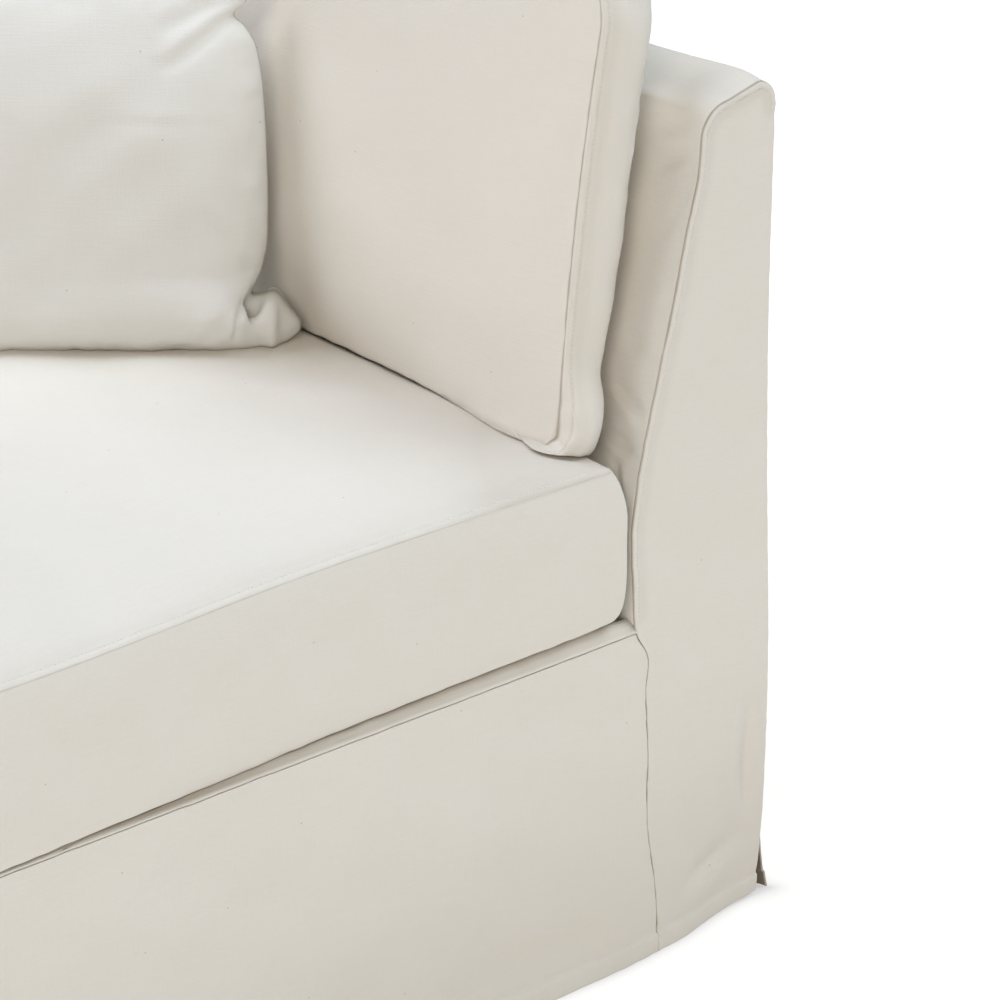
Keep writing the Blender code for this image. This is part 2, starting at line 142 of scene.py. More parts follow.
def stations(length: float, coarse: float, fine_start: bool = True, fine_end: bool = True) -> Array:
    """Places from 0 to length: close together by a sewn edge, coarse steps apart elsewhere.

    Args:
        length: Distance to cover, in metres.
        coarse: Step away from the edges, in metres.
        fine_start: Whether the stations crowd at 0.
        fine_end: Whether they crowd at length.

    Returns:
        Rising places, the first 0 and the last length.
    """
    start = FINE_STEPS if fine_start else np.array([0.0])
    end = length - FINE_STEPS[::-1] if fine_end else np.array([length])
    count = max(int(round((end[0] - start[-1]) / coarse)), 2)
    middle = np.linspace(start[-1], end[0], count + 1)[1:-1]
    return np.concatenate([start, middle, end])


@dataclass(frozen=True)
class Unevenness:
    """Slow hills and hollows, as of cloth over padding: a sum of cosine waves in seeded directions."""

    height: float
    longest: float
    shortest: float
    seed: int
    waves: int = 14
    stretch: float = 1.0

    def at(self, *places: Array) -> Array:
        """Height of the hills at two cloth coordinates or at three of space, stretched along the second."""
        rng = np.random.default_rng(self.seed)
        lengths = np.exp(rng.uniform(math.log(self.shortest), math.log(self.longest), self.waves))
        courses = rng.normal(size=(self.waves, len(places)))
        courses /= np.linalg.norm(courses, axis=1, keepdims=True)
        courses[:, 1] /= self.stretch
        phases = rng.uniform(0, 2 * math.pi, self.waves)
        total = np.zeros(np.broadcast(*places).shape)
        for length, course, phase in zip(lengths, courses, phases):
            run = sum(share * place for share, place in zip(course, places))
            total += np.cos(2 * math.pi * run / length + phase) * math.sqrt(length / self.longest)
        return self.height * total / math.sqrt(self.waves / 2)


@dataclass(frozen=True)
class Crease:
    """Soft trough between two points of the cloth, with a lower ridge thrown up on one side."""

    start: Pair
    end: Pair
    width: float
    depth: float
    ridge: float = 0.5
    ridge_place: float = 1.9
    ridge_width: float = 1.3
    taper: float = 0.8

    def at(self, across: Array, along: Array) -> Array:
        """Relief of the crease: a bell-shaped trough tapered to both ends, plus its ridge."""
        dx, dy = self.end[0] - self.start[0], self.end[1] - self.start[1]
        length = math.hypot(dx, dy)
        px, py = across - self.start[0], along - self.start[1]
        share = (px * dx + py * dy) / length**2
        side = (px * dy - py * dx) / length
        crest = hill(side - self.ridge_place * self.width, self.ridge_width * self.width)
        taper = np.sin(math.pi * np.clip(share, 0.0, 1.0)) ** self.taper
        return self.depth * taper * (self.ridge * crest - hill(side, self.width))


def creases(*rows: tuple[float, ...]) -> tuple[Crease, ...]:
    """Creases from rows of start, end, width, depth and, where it differs, the ridge's share."""
    return tuple(Crease(row[:2], row[2:4], *row[4:]) for row in rows)


def creased(wanted: Sequence[Crease], across: Array, along: Array) -> Array:
    """Sum of the reliefs of several creases."""
    return sum((crease.at(across, along) for crease in wanted), np.zeros(np.shape(across)))


class Edge(Enum):
    """How an edge of a panel is worked."""

    SEAM = "seam"
    TOPSTITCHED = "topstitched"
    HEM = "hem"


@dataclass(frozen=True)
class Hump:
    """Bell-shaped hump beside an edge: how high, how far from the edge, how wide."""

    height: float
    place: float
    reach: float

    def at(self, distance: Array) -> Array:
        """Height at a distance from the edge."""
        return self.height * hill(distance - self.place, self.reach)


@dataclass(frozen=True)
class EdgeWork:
    """Relief and shading that sewing leaves beside an edge."""

    roll: float = 0.0007
    roll_reach: float = 0.0018
    turn_in: float = 0.0016
    turn_reach: float = 0.0004
    allowance: float = 0.0007
    allowance_ends: tuple[float, ...] = (0.0006, 0.0022, 0.0050, 0.0066)
    stitch_line: float = 0.0060
    stitches: Hump = Hump(0.0006, 0.0060, 0.0009)
    stitched_trough: Hump = Hump(0.0009, 0.0135, 0.0065)
    stitched_puckers: Hump = Hump(1.0, 0.006, 0.011)
    seam_trough: Hump = Hump(0.00036, 0.007, 0.006)
    seam_puckers: Hump = Hump(1.0, 0.003, 0.010)
    pucker: float = 0.00045
    pucker_lengths: Pair = (0.045, 0.012)
    pucker_slant: float = 0.3
    hem_width: float = 0.0188
    hem_step: float = 0.0015
    hem_edge: float = 0.0006
    hem_roll: float = 0.4
    hem_dip: Hump = Hump(0.0008, 0.0218, 0.004)
    hem_puckers: Hump = Hump(1.0, 0.0094, 0.0188)
    hem_shade: Hump = Hump(0.28, 0.0188, 0.0012)
    groove_shade: Hump = Hump(0.85, 0.0, 0.0006)
    stitch_shade: Hump = Hump(0.16, 0.0060, 0.0008)
    trough_shade: Hump = Hump(0.10, 0.011, 0.005)

    def relief(self, kind: Edge, distance: Array, puckers: Array, turned: bool = True) -> Array:
        """Height of the cloth beside an edge.

        A quadratic roll at the very edge, whose last thread is turned in as the seam's allowance; behind a
        topstitched seam a flat-topped ridge over the allowance, a dip at the stitches and a soft trough;
        puckers that die out with the distance; a hem's doubled band with a small step at its top.

        Args:
            kind: How the edge is worked.
            distance: Distance from the edge.
            puckers: Height of the puckers that the sewing draws up.
            turned: Whether the edge is open and its last thread turned in.

        Returns:
            The height to add.
        """
        rolled = -self.roll * np.clip(1 - distance / self.roll_reach, 0.0, 1.0) ** 2
        if kind is Edge.HEM:
            low, high = self.hem_width - self.hem_edge, self.hem_width + self.hem_edge
            band = self.hem_step * (1 - smooth_step(low, high, distance))
            puckered = puckers * self.hem_puckers.at(distance)
            return rolled * self.hem_roll + band - self.hem_dip.at(distance) + puckered
        if turned:
            rolled = rolled - self.turn_in * np.clip(1 - distance / self.turn_reach, 0.0, 1.0)
        if kind is Edge.SEAM:
            return rolled - self.seam_trough.at(distance) + puckers * self.seam_puckers.at(distance)
        rise, crest, fall, foot = self.allowance_ends
        ridge = smooth_step(rise, crest, distance) * (1 - smooth_step(fall, foot, distance))
        dipped = rolled + self.allowance * ridge - self.stitches.at(distance)
        return dipped - self.stitched_trough.at(distance) + puckers * self.stitched_puckers.at(distance)

    def shade(self, kind: Edge, distance: Array) -> Array:
        """Share of shade in the groove of a seam and along its stitches, 0 to 1."""
        if kind is Edge.HEM:
            return self.hem_shade.at(distance)
        groove = self.groove_shade.at(distance)
        if kind is Edge.TOPSTITCHED:
            groove = groove + self.stitch_shade.at(distance) + self.trough_shade.at(distance)
        return groove


SEWING = EdgeWork()


def distance_to_path(points: Array, path: Array) -> Arrays:
    """Distance from points to a polyline in a plane, and how far along it the nearest place lies.

    The nearest corner is found first, then the nearest point on the segments on either side of it.

    Args:
        points: (..., 2) array.
        path: (n, 2) array of corners.

    Returns:
        Distances, and lengths along the path.
    """
    flat = points.reshape(-1, 2)
    gaps = ((flat[:, None, :] - path[None, :, :]) ** 2).sum(axis=2)
    nearest = gaps.argmin(axis=1)
    lengths = lengths_along(path)
    best = np.full(len(flat), np.inf)
    place = np.zeros(len(flat))
    for shift in (-1, 0):
        first = np.clip(nearest + shift, 0, len(path) - 2)
        leg = path[first + 1] - path[first]
        size = np.maximum((leg**2).sum(axis=1), TINY)
        share = np.clip(((flat - path[first]) * leg).sum(axis=1) / size, 0.0, 1.0)
        gap = np.linalg.norm(flat - path[first] - leg * share[:, None], axis=1)
        better = gap < best
        best = np.where(better, gap, best)
        place = np.where(better, lengths[first] + np.sqrt(size) * share, place)
    shape = points.shape[:-1]
    return best.reshape(shape), place.reshape(shape)


# ---- meshes from arrays ----


def numbered(rows: int, columns: int, first: int = 0) -> Array:
    """Point numbers of a grid, row by row."""
    return first + np.arange(rows * columns).reshape(rows, columns)


def closed(numbers: Array) -> Array:
    """The same grid with its first column again after its last."""
    return np.concatenate([numbers, numbers[:, :1]], axis=1)


def quad_corners(values: Array, flip: bool) -> Array:
    """Values of a grid at the four corners of each of its quads, in the quads' winding order."""
    corners = [values[:-1, :-1], values[:-1, 1:], values[1:, 1:], values[1:, :-1]]
    stacked = np.stack(corners, axis=2).reshape(-1, 4, *values.shape[2:])
    return stacked[:, ::-1] if flip else stacked


def make_object(
    name: str, points: Array, faces: Array | list, uv: Array | None = None, shade: Array | None = None
) -> Piece:
    """Smooth-shaded object from arrays.

    Args:
        name: The piece's name.
        points: (n, 3) places.
        faces: Corner numbers of each face.
        uv: Cloth coordinates in metres, one for each face corner, or None.
        shade: Share of shade at each point, or None.

    Returns:
        The object, linked to the scene.
    """
    mesh = bpy.data.meshes.new(name)
    mesh.from_pydata(points.reshape(-1, 3), [], faces)
    if uv is not None:
        mesh.uv_layers.new(name=WEAVE_UV).data.foreach_set("uv", uv.astype(np.float32).ravel())
    if shade is not None:
        layer = mesh.attributes.new(SHADE_LAYER, "FLOAT", "POINT")
        layer.data.foreach_set("value", np.clip(shade, 0.0, 1.0).astype(np.float32).ravel())
    mesh.shade_smooth()
    mesh.update()
    piece = bpy.data.objects.new(name, mesh)
    bpy.context.scene.collection.objects.link(piece)
    return piece


@dataclass
class ClothGrid:
    """Outer surface of a panel on a grid, with its cloth coordinates in metres."""

    points: Array
    across: Array
    along: Array
    flip: bool
    shade: Array

    @classmethod
    def laid(cls, x: Array, y: Array, z: Array, across: Array, along: Array, flip: bool) -> "ClothGrid":
        """Grid from arrays of coordinates that broadcast to one shape."""
        x, y, z, across, along = np.broadcast_arrays(x, y, z, across, along)
        return cls(np.stack([x, y, z], axis=-1), across, along, flip, np.zeros(x.shape))

    def normals(self) -> Array:
        """Unit normals out of the cover: across the columns times up the rows, turned if flip is set."""
        normal = unit(np.cross(np.gradient(self.points, axis=1), np.gradient(self.points, axis=0)))
        return -normal if self.flip else normal

    def raised(self, height: Array) -> None:
        """Moves each point along its normal by a height."""
        self.points = self.points + self.normals() * height[..., None]

    def work(self, kind: Edge, distance: Array, along: Array, seed: int, tone: float = 1.0) -> Array:
        """Relief of one edge; a share of its shade is added to the grid's own."""
        self.darken(tone * SEWING.shade(kind, distance))
        wave = Unevenness(SEWING.pucker, *SEWING.pucker_lengths, seed)
        puckers = wave.at(along, distance * SEWING.pucker_slant)
        return SEWING.relief(kind, distance, puckers)

    def seams(self, seed: int, *edges: Arrays, share: float = 1.0, tone: float = 1.0) -> Array:
        """Relief of plain seams, each given as the distance from it and the place along it.

        Args:
            seed: Seed of the first seam's puckers; the next ones follow on.
            edges: Distance and place of every point, seam by seam.
            share: Share of the full relief.
            tone: Share of the full shade.

        Returns:
            The sum of their reliefs.
        """
        total = 0.0
        for number, (distance, along) in enumerate(edges):
            total = total + share * self.work(Edge.SEAM, distance, along, seed + number, tone)
        return total

    def hemmed(self, seed: int) -> Array:
        """Relief of the hem at the foot; adds painted shade that deepens towards the floor."""
        relief = self.work(Edge.HEM, self.along - SHAPE.hem_clear, self.across, seed)
        self.darken(FOOT_SHADE * hill(self.points[..., 2], FOOT_SHADE_HEIGHT))
        return relief

    def darken(self, shade: Array) -> None:
        """Adds a shade where it is deeper than the grid's own."""
        self.shade = np.maximum(self.shade, shade)

    def sampled(self, rows: Array, columns: Array) -> Arrays:
        """Points and normals at fractional row and column numbers, straight between the grid's own."""
        low_row = np.clip(rows.astype(int), 0, self.points.shape[0] - 2)
        low_column = np.clip(columns.astype(int), 0, self.points.shape[1] - 2)
        up, right = (rows - low_row)[:, None], (columns - low_column)[:, None]
        both = np.concatenate([self.points, self.normals()], axis=2)
        near = both[low_row, low_column] * (1 - right) + both[low_row, low_column + 1] * right
        far = both[low_row + 1, low_column] * (1 - right) + both[low_row + 1, low_column + 1] * right
        mixed = near * (1 - up) + far * up
        return mixed[:, :3], unit(mixed[:, 3:])

    def sheet(self, name: str) -> Piece:
        """Closed thin sheet on this surface, thickened inwards."""
        quads = quad_corners(numbered(*self.across.shape), self.flip)
        uv = quad_corners(np.stack([self.across, self.along], axis=-1), self.flip)
        piece = make_object(name, self.points, quads, uv, self.shade)
        wall = piece.modifiers.new("thickness", "SOLIDIFY")
        wall.thickness = CLOTH_THICKNESS
        wall.offset = -1.0
        wall.material_offset = 1
        return piece


# ---- how the cover hangs on its seat unit ----


@dataclass(frozen=True)
class CoverShape:
    """Planes, sections and flares of the cover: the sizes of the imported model."""

    right: float = 0.4682
    left: float = -0.4818
    front: float = -0.4525
    rear: float = 0.4335
    deck_seam: float = 0.3292
    deck_top: float = 0.3365
    deck_edge_depth: float = 0.1485
    seam_gap: float = 0.0005
    gap: float = 0.0001
    butt: float = 0.0019
    mitre_gap: float = 0.0003
    mitre_lap: float = 0.0035
    hem_clear: float = 0.0004
    back_foot: float = 0.3372
    inner_corner: float = 0.030
    inner_corner_height: float = 0.770
    outer_corner: float = 0.020
    outer_corner_height: float = 0.790
    end_top: float = 0.8097
    ear_rise: float = 0.006
    ear_reach: float = 0.030
    wave: float = 0.0035
    wave_pitch: float = 0.310
    swing_top: float = 0.300
    vent_height: float = 0.080
    vent_reach: float = 0.090
    vent_gape: float = 0.020
    back_section: Rows = (
        (0.0, 0.127), (0.065, 0.128), (0.135, 0.137), (0.205, 0.1355), (0.268, 0.138), (0.3, 0.136),
        (0.33, 0.1505), (0.362, 0.154), (0.422, 0.1575), (0.457, 0.154), (0.497, 0.147), (0.579, 0.1266),
        (0.64, 0.1118), (0.697, 0.0992), (0.74, 0.088), (0.77, 0.0854),
    )
    flare_rows: Rows = (
        (0.0, 0.0145), (0.095, 0.018), (0.26, 0.0145), (0.45, 0.005), (0.607, 0.0), (0.806, 0.0),
    )
    swing_rows: Rows = (
        (-0.02, -0.0075), (0.031, -0.004), (0.087, 0.007), (0.133, 0.011), (0.178, 0.0136), (0.26, 0.0105),
        (0.45, 0.007), (0.62, 0.012), (0.8, 0.005), (0.94, -0.004),
    )
    lift_rows: Rows = (
        (-0.02, 0.004), (0.031, 0.0015), (0.087, 0.0), (0.133, 0.0), (0.178, 0.0), (0.26, 0.0),
        (0.45, 0.0008), (0.62, 0.0), (0.8, 0.0008), (0.94, 0.0015),
    )

    @property
    def shoulder(self) -> float:
        """Height at which a back's inside face has turned into its top."""
        return self.inner_corner_height + self.inner_corner

    @property
    def shoulder_depth(self) -> float:
        """Depth at which a back's top begins."""
        return self.back_section[-1][1] - self.inner_corner

    @property
    def crest(self) -> float:
        """Height of a back's top where its outer corner begins."""
        return self.outer_corner_height + self.outer_corner

    def back_depth(self, height: Array) -> Array:
        """Thickness of a back at a height: the table, then a quarter round, then the slope of the top."""
        shoulder, depth = self.shoulder, self.shoulder_depth
        rise = np.clip(height - self.inner_corner_height, 0.0, self.inner_corner)
        rounded = depth + np.sqrt(self.inner_corner**2 - rise**2)
        slope = depth + (self.outer_corner - depth) * (height - shoulder) / (self.crest - shoulder)
        low = smooth_curve(self.back_section, height)
        return np.where(height <= self.inner_corner_height, low, np.where(height < shoulder, rounded, slope))

    def outside_inset(self, height: Array) -> Array:
        """How far the outer top corner, a quarter circle, draws in at a height."""
        rise = np.clip(height - self.outer_corner_height, 0.0, self.outer_corner)
        return self.outer_corner - np.sqrt(self.outer_corner**2 - rise**2)

    def flare(self, height: Array) -> Array:
        """How far an outside panel stands clear of the frame: a smooth table of height."""
        return smooth_curve(self.flare_rows, height)

    def swing(self, along: Array, height: Array) -> Array:
        """How far an open side's cloth swings out: a table from its outer corner, fading with height."""
        return smooth_curve(self.swing_rows, along) * fade_out(height, self.swing_top)

    def hem_height(self, along: Array, height: Array) -> Array:
        """Height of a place once its hem is lifted, the cloth above following for a short way."""
        lift = np.maximum(smooth_curve(self.lift_rows, along), 0.0)
        return height + lift * fade_out(height, self.vent_height)

    def vent(self, from_corner: Array, height: Array) -> Array:
        """How far a side panel gapes at a corner vent: a fade with height times a fade from the corner."""
        near = fade_out(np.maximum(from_corner, 0.0), self.vent_reach)
        return self.vent_gape * fade_out(height, self.vent_height) * near

    def waves(self, along: Array, from_corner: Array, height: Array) -> Array:
        """Slow upright waves of an outside panel: a sine that grows towards its hem and dies at its ends."""
        wave = self.wave * np.sin(2 * math.pi * from_corner / self.wave_pitch)
        ends = np.clip(np.minimum(along - self.front, self.rear - along) / self.vent_reach, 0.0, 1.0)
        top = np.clip((self.outer_corner_height - height) / self.outer_corner_height, 0.0, 1.0)
        return wave * fade_out(height, self.outer_corner_height) * ends * top

    def front_y(self, x: Array, z: Array) -> Array:
        """Y of the front's outer surface: its plane less the swing."""
        return self.front - self.swing(self.right - x, z)

    def left_x(self, y: Array, z: Array) -> Array:
        """X of the left side's outer surface: its plane less the swing."""
        return self.left - self.swing(self.rear - y, z)

    def right_x(self, y: Array, z: Array) -> Array:
        """X of the right outside's outer surface: its plane plus flare, vent and waves."""
        corner = y - self.front - self.butt
        return self.right + self.flare(z) + self.vent(corner, z) + self.waves(y, corner, z)

    def rear_y(self, x: Array, z: Array) -> Array:
        """Y of the rear outside's outer surface: its plane plus flare, vent and waves."""
        corner = x - self.left - self.butt
        return self.rear + self.flare(z) + self.vent(corner, z) + self.waves(x, corner, z)

    def back_path(self, foot: float, step: float) -> Array:
        """(depth, height) corners of a back's section, from a height on its inside face to its outside seam.

        Args:
            foot: Height to start at.
            step: Spacing of the corners.

        Returns:
            (n, 2) array: up the face, round the inner corner, along the top, round the outer corner.
        """
        rise = np.arange(foot, self.inner_corner_height - step / 2, step)
        face = np.stack([self.back_depth(rise), rise], 1)
        low, high = self.shoulder_depth, self.outer_corner
        inner = quarter_round((low, self.inner_corner_height), self.inner_corner, 0.0, step)
        across = np.linspace(low, high, int((low - high) / step) + 2)[1:-1]
        slope = self.shoulder + (self.crest - self.shoulder) * (low - across) / (low - high)
        outer = quarter_round((high, self.outer_corner_height), high, QUARTER, step)
        return np.concatenate([face, inner, np.stack([across, slope], 1), outer])


def quarter_round(centre: Pair, radius: float, start: float, step: float) -> Array:
    """Corners of a quarter circle about a centre, from a starting angle onwards."""
    turn = np.linspace(start, start + QUARTER, int(radius * QUARTER / step) + 2)
    return np.stack([centre[0] + radius * np.cos(turn), centre[1] + radius * np.sin(turn)], 1)


SHAPE = CoverShape()


# ---- topstitching ----


@dataclass(frozen=True)
class Thread:
    """A row of lockstitches: short slanted beads of thread whose ends dip into the cloth."""

    pitch: float = 0.0042
    length: float = 0.0031
    radius: float = 0.00042
    proud: float = 0.00025
    dip: float = 0.00045
    tip: float = 0.45
    rings: tuple[float, ...] = (-0.5, -0.18, 0.18, 0.5)
    sides: int = 5

    def row(self, name: str, path: Array, normals: Array) -> Piece:
        """Stitches along a path on the cloth.

        Each bead is a ring of points carried along four stations; its radius narrows and its axis sinks by a
        half sine towards both ends. One bead is copied to every stitch by its tangent, side and normal.

        Args:
            name: The piece's name.
            path: (n, 3) points on the surface.
            normals: (n, 3) unit normals there.

        Returns:
            The row as one object.
        """
        places = np.arange(self.pitch, lengths_along(path)[-1] - self.pitch, self.pitch)
        ahead = resampled(path, places + self.length / 2)
        behind = resampled(path, places - self.length / 2)
        tangent = unit(ahead - behind)[:, None, :]
        normal = unit(resampled(path, places, normals))[:, None, :]
        side = np.cross(normal, tangent)
        run = np.array(self.rings)
        arch = np.sin(math.pi * (run + 0.5))
        angle = np.arange(self.sides) * 2 * math.pi / self.sides
        radius = (self.radius * (self.tip + (1 - self.tip) * arch))[:, None]
        along = np.repeat(run * self.length, self.sides)[:, None]
        sideways = (radius * np.cos(angle)).reshape(-1, 1)
        up = (radius * np.sin(angle) + (self.proud - self.dip * (1 - arch))[:, None]).reshape(-1, 1)
        points = ((ahead + behind) / 2)[:, None, :] + tangent * along + side * sideways + normal * up
        bead = len(run) * self.sides
        starts = bead * np.arange(len(places))
        ring = quad_corners(closed(numbered(len(run), self.sides)), True)
        first = np.arange(self.sides)
        caps = np.stack([first, bead - 1 - first])
        faces = (ring + starts[:, None, None]).reshape(-1, 4).tolist()
        faces += (caps + starts[:, None, None]).reshape(-1, self.sides).tolist()
        return make_object(name, points, faces)


THREAD = Thread()


# ---- panels ----


@dataclass
class Panel:
    """One sewn panel of the cover: its cut, what it is held by and its own creases."""

    node: str = "panel"
    flat: Pair = (1.0, 1.0)
    seed: int = 1
    mirrored: bool = False
    area: float | None = None
    coarse: float = 0.0075
    billow: float = 0.0010
    hill_lengths: Pair = (0.32, 0.07)
    trim: float = 0.006
    still: Pair = (0.05, 0.04)
    folds: tuple[Crease, ...] = ()
    held: str = "hung"

    @property
    def name(self) -> str:
        """Name of the sheet."""
        return f"{self.node}_cloth"

    def surface(self) -> ClothGrid:
        """Outer surface of the hung panel."""
        raise NotImplementedError

    def upright(self, top: float) -> Array:
        """Heights of the rows of a panel that hangs from a seam down to its hem."""
        return (SHAPE.hem_clear + stations(top - SHAPE.hem_clear, self.coarse))[:, None]

    def finished(self, grid: ClothGrid, relief: Array, from_side: Array, from_top: Array) -> ClothGrid:
        """Raises the relief, slow hills and creases; the last two die out towards the side and top seams."""
        hills = Unevenness(self.billow, *self.hill_lengths, self.seed).at(grid.across, grid.along)
        quiet = smooth_step(0.0, self.still[0], from_side) * smooth_step(0.0, self.still[1], from_top)
        grid.raised(relief + (hills + creased(self.folds, grid.across, grid.along)) * quiet)
        return grid

    def stitching(self, grid: ClothGrid) -> list[Piece]:
        """Rows of topstitching on the panel, none by default."""
        return []

    def build(self, cloth: Material, reverse: Material, thread: Material) -> int:
        """Args:
            cloth: Finish of the sheet's face.
            reverse: Finish of its other side, painted dark to stand for the shade inside the cover.
            thread: Finish of its stitches.

        Returns:
            How many pieces it added.
        """
        grid = self.surface()
        piece = dressed(grid.sheet(self.name), cloth, reverse)
        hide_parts(self.node)
        rows = [dressed(row, thread) for row in self.stitching(grid)]
        return 1 + len(rows)


def dressed(piece: Piece, *finishes: Material) -> Piece:
    """Gives a piece its finishes and its body, and returns it."""
    for finish in finishes:
        piece.data.materials.append(finish)
    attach(piece, BODY)
    return piece


@dataclass
class BasePanel(Panel):
    """Base of an open side, from the deck seam to the hem, in the plane of the front."""

    node: str = "front_panel"
    flat: Pair = (0.840, 0.350)
    seed: int = 11
    width: float = 0.823
    coarse: float = 0.0070
    billow: float = 0.0016
    seam_tone: float = 0.22
    still: Pair = (0.05, 0.03)
    folds: tuple[Crease, ...] = creases(
        (0.8, 0.052, 0.52, 0.036, 0.016, 0.0016), (0.64, 0.07, 0.3, 0.09, 0.03, 0.0016),
        (0.79, 0.3, 0.66, 0.262, 0.014, 0.0008), (0.56, 0.318, 0.38, 0.292, 0.016, 0.0009),
        (0.745, 0.18, 0.61, 0.12, 0.03, 0.001), (0.3, 0.24, 0.18, 0.12, 0.03, 0.0014),
    )

    def edges(self, z: Array) -> Arrays:
        """Where the panel starts and ends at each height, along its own side."""
        inner = SHAPE.back_depth(z) + SHAPE.gap
        if self.mirrored:
            return SHAPE.front_y(SHAPE.left, z) + SHAPE.butt, SHAPE.rear - inner
        return SHAPE.left_x(SHAPE.front, z), SHAPE.right - inner

    def surface(self) -> ClothGrid:
        """The grid runs from the open corner to the back's seam, and from the hem to the deck seam.

        Place = side plane plus swing at the hem; relief from the four edges, the creases and slow hills.
        """
        top = SHAPE.deck_seam - SHAPE.seam_gap
        z = self.upright(top)
        across = stations(self.width, self.coarse)[None, :]
        low, high = self.edges(z)
        run = low + (high - low) * across / self.width
        if self.mirrored:
            lifted = SHAPE.hem_height(SHAPE.rear - run, z)
            x = SHAPE.left_x(run, z) - SHAPE.vent(run - SHAPE.front - SHAPE.butt, z)
            grid = ClothGrid.laid(x, run, lifted, across, z, flip=True)
        else:
            lifted = SHAPE.hem_height(SHAPE.right - run, z)
            grid = ClothGrid.laid(run, SHAPE.front_y(run, z), lifted, across, z, flip=False)
        from_end, from_top = self.width - grid.across, top - grid.along
        relief = grid.seams(self.seed, (grid.across, grid.along), (from_end, grid.along))
        relief = relief + grid.seams(self.seed + 2, (from_top, grid.across), tone=self.seam_tone)
        relief = relief + grid.hemmed(self.seed + 3)
        return self.finished(grid, relief, np.minimum(grid.across, from_end), from_top)


@dataclass
class EndPanel(Panel):
    """End of a back, cut to its raked section and topstitched along its inside seam."""

    node: str = "right_end_panel"
    flat: Pair = (0.180, 0.825)
    seed: int = 21
    area: float | None = 0.118
    coarse: float = 0.0060
    billow: float = 0.0009
    grid_width: float = 0.1355
    path_step: float = 0.002
    corner_share: float = 0.5
    row_end: float = 0.6
    still: Pair = (0.03, 0.04)
    folds: tuple[Crease, ...] = creases(
        (0.03, 0.05, 0.128, 0.078, 0.01, 0.005, 0.6), (0.06, 0.25, 0.022, 0.18, 0.012, 0.001),
        (0.026, 0.33, 0.07, 0.262, 0.01, 0.0009), (0.128, 0.23, 0.13, 0.085, 0.009, 0.0064, 0.3),
        (0.03, 0.15, 0.06, 0.05, 0.014, 0.0012),
    )

    def lines(self) -> Arrays:
        """Heights of the grid's rows, and the columns' shares of the way from the inside seam outwards."""
        heights = SHAPE.hem_clear + stations(SHAPE.end_top - SHAPE.hem_clear, self.coarse)
        return heights, stations(self.grid_width, self.coarse) / self.grid_width

    def sides(self, z: Array) -> Arrays:
        """Depths of the inside seam and of the outside corner at each height."""
        return SHAPE.back_depth(z), SHAPE.outside_inset(z) - SHAPE.flare(z)

    def surface(self) -> ClothGrid:
        """The grid's columns run from the inside seam to the outside corner, its rows from hem to crest."""
        heights, shares = self.lines()
        z, share = heights[:, None], shares[None, :]
        inner, outer = self.sides(z)
        depth = inner + (outer - inner) * share
        across = inner - depth
        if self.mirrored:
            y = SHAPE.rear - depth
            grid = ClothGrid.laid(SHAPE.left_x(y, z), y, SHAPE.hem_height(depth, z), across, z, flip=True)
        else:
            x = SHAPE.right - depth
            grid = ClothGrid.laid(x, SHAPE.front_y(x, z), SHAPE.hem_height(depth, z), across, z, flip=False)
        flat = np.stack(np.broadcast_arrays(depth, z), axis=-1)
        seam, along = distance_to_path(flat, SHAPE.back_path(SHAPE.back_foot, self.path_step))
        high = grid.along > SHAPE.back_foot
        corner = (inner - outer) * (1 - share)
        stitched = grid.work(Edge.TOPSTITCHED, np.where(high, seam, 1.0), along, self.seed)
        plain = grid.work(Edge.SEAM, np.where(high, 1.0, grid.across), grid.along, self.seed + 1)
        relief = np.where(high, stitched, plain)
        relief = relief + grid.seams(self.seed + 2, (corner, grid.along), share=self.corner_share)
        relief = relief + grid.hemmed(self.seed + 3)
        return self.finished(grid, relief, np.minimum(grid.across, corner), SHAPE.end_top - grid.along)

    def stitching(self, grid: ClothGrid) -> list[Piece]:
        """One row beside the inside seam, from the deck up and over the top."""
        path = SHAPE.back_path(SHAPE.back_foot, self.path_step)
        tangent = unit(np.gradient(path, axis=0))
        inward = np.stack([-tangent[:, 1], tangent[:, 0]], axis=1)
        line = path + inward * SEWING.stitch_line
        line = line[(line[:, 1] > SHAPE.back_foot) & (line[:, 0] > SHAPE.outer_corner * self.row_end)]
        depth, z = line[:, 0], line[:, 1]
        heights, shares = self.lines()
        inner, outer = self.sides(z)
        rows = np.interp(z, heights, np.arange(len(heights)))
        columns = np.interp((inner - depth) / (inner - outer), shares, np.arange(len(shares)))
        points, normals = grid.sampled(rows, columns)
        return [THREAD.row(f"{self.node}_topstitching", points, normals)]


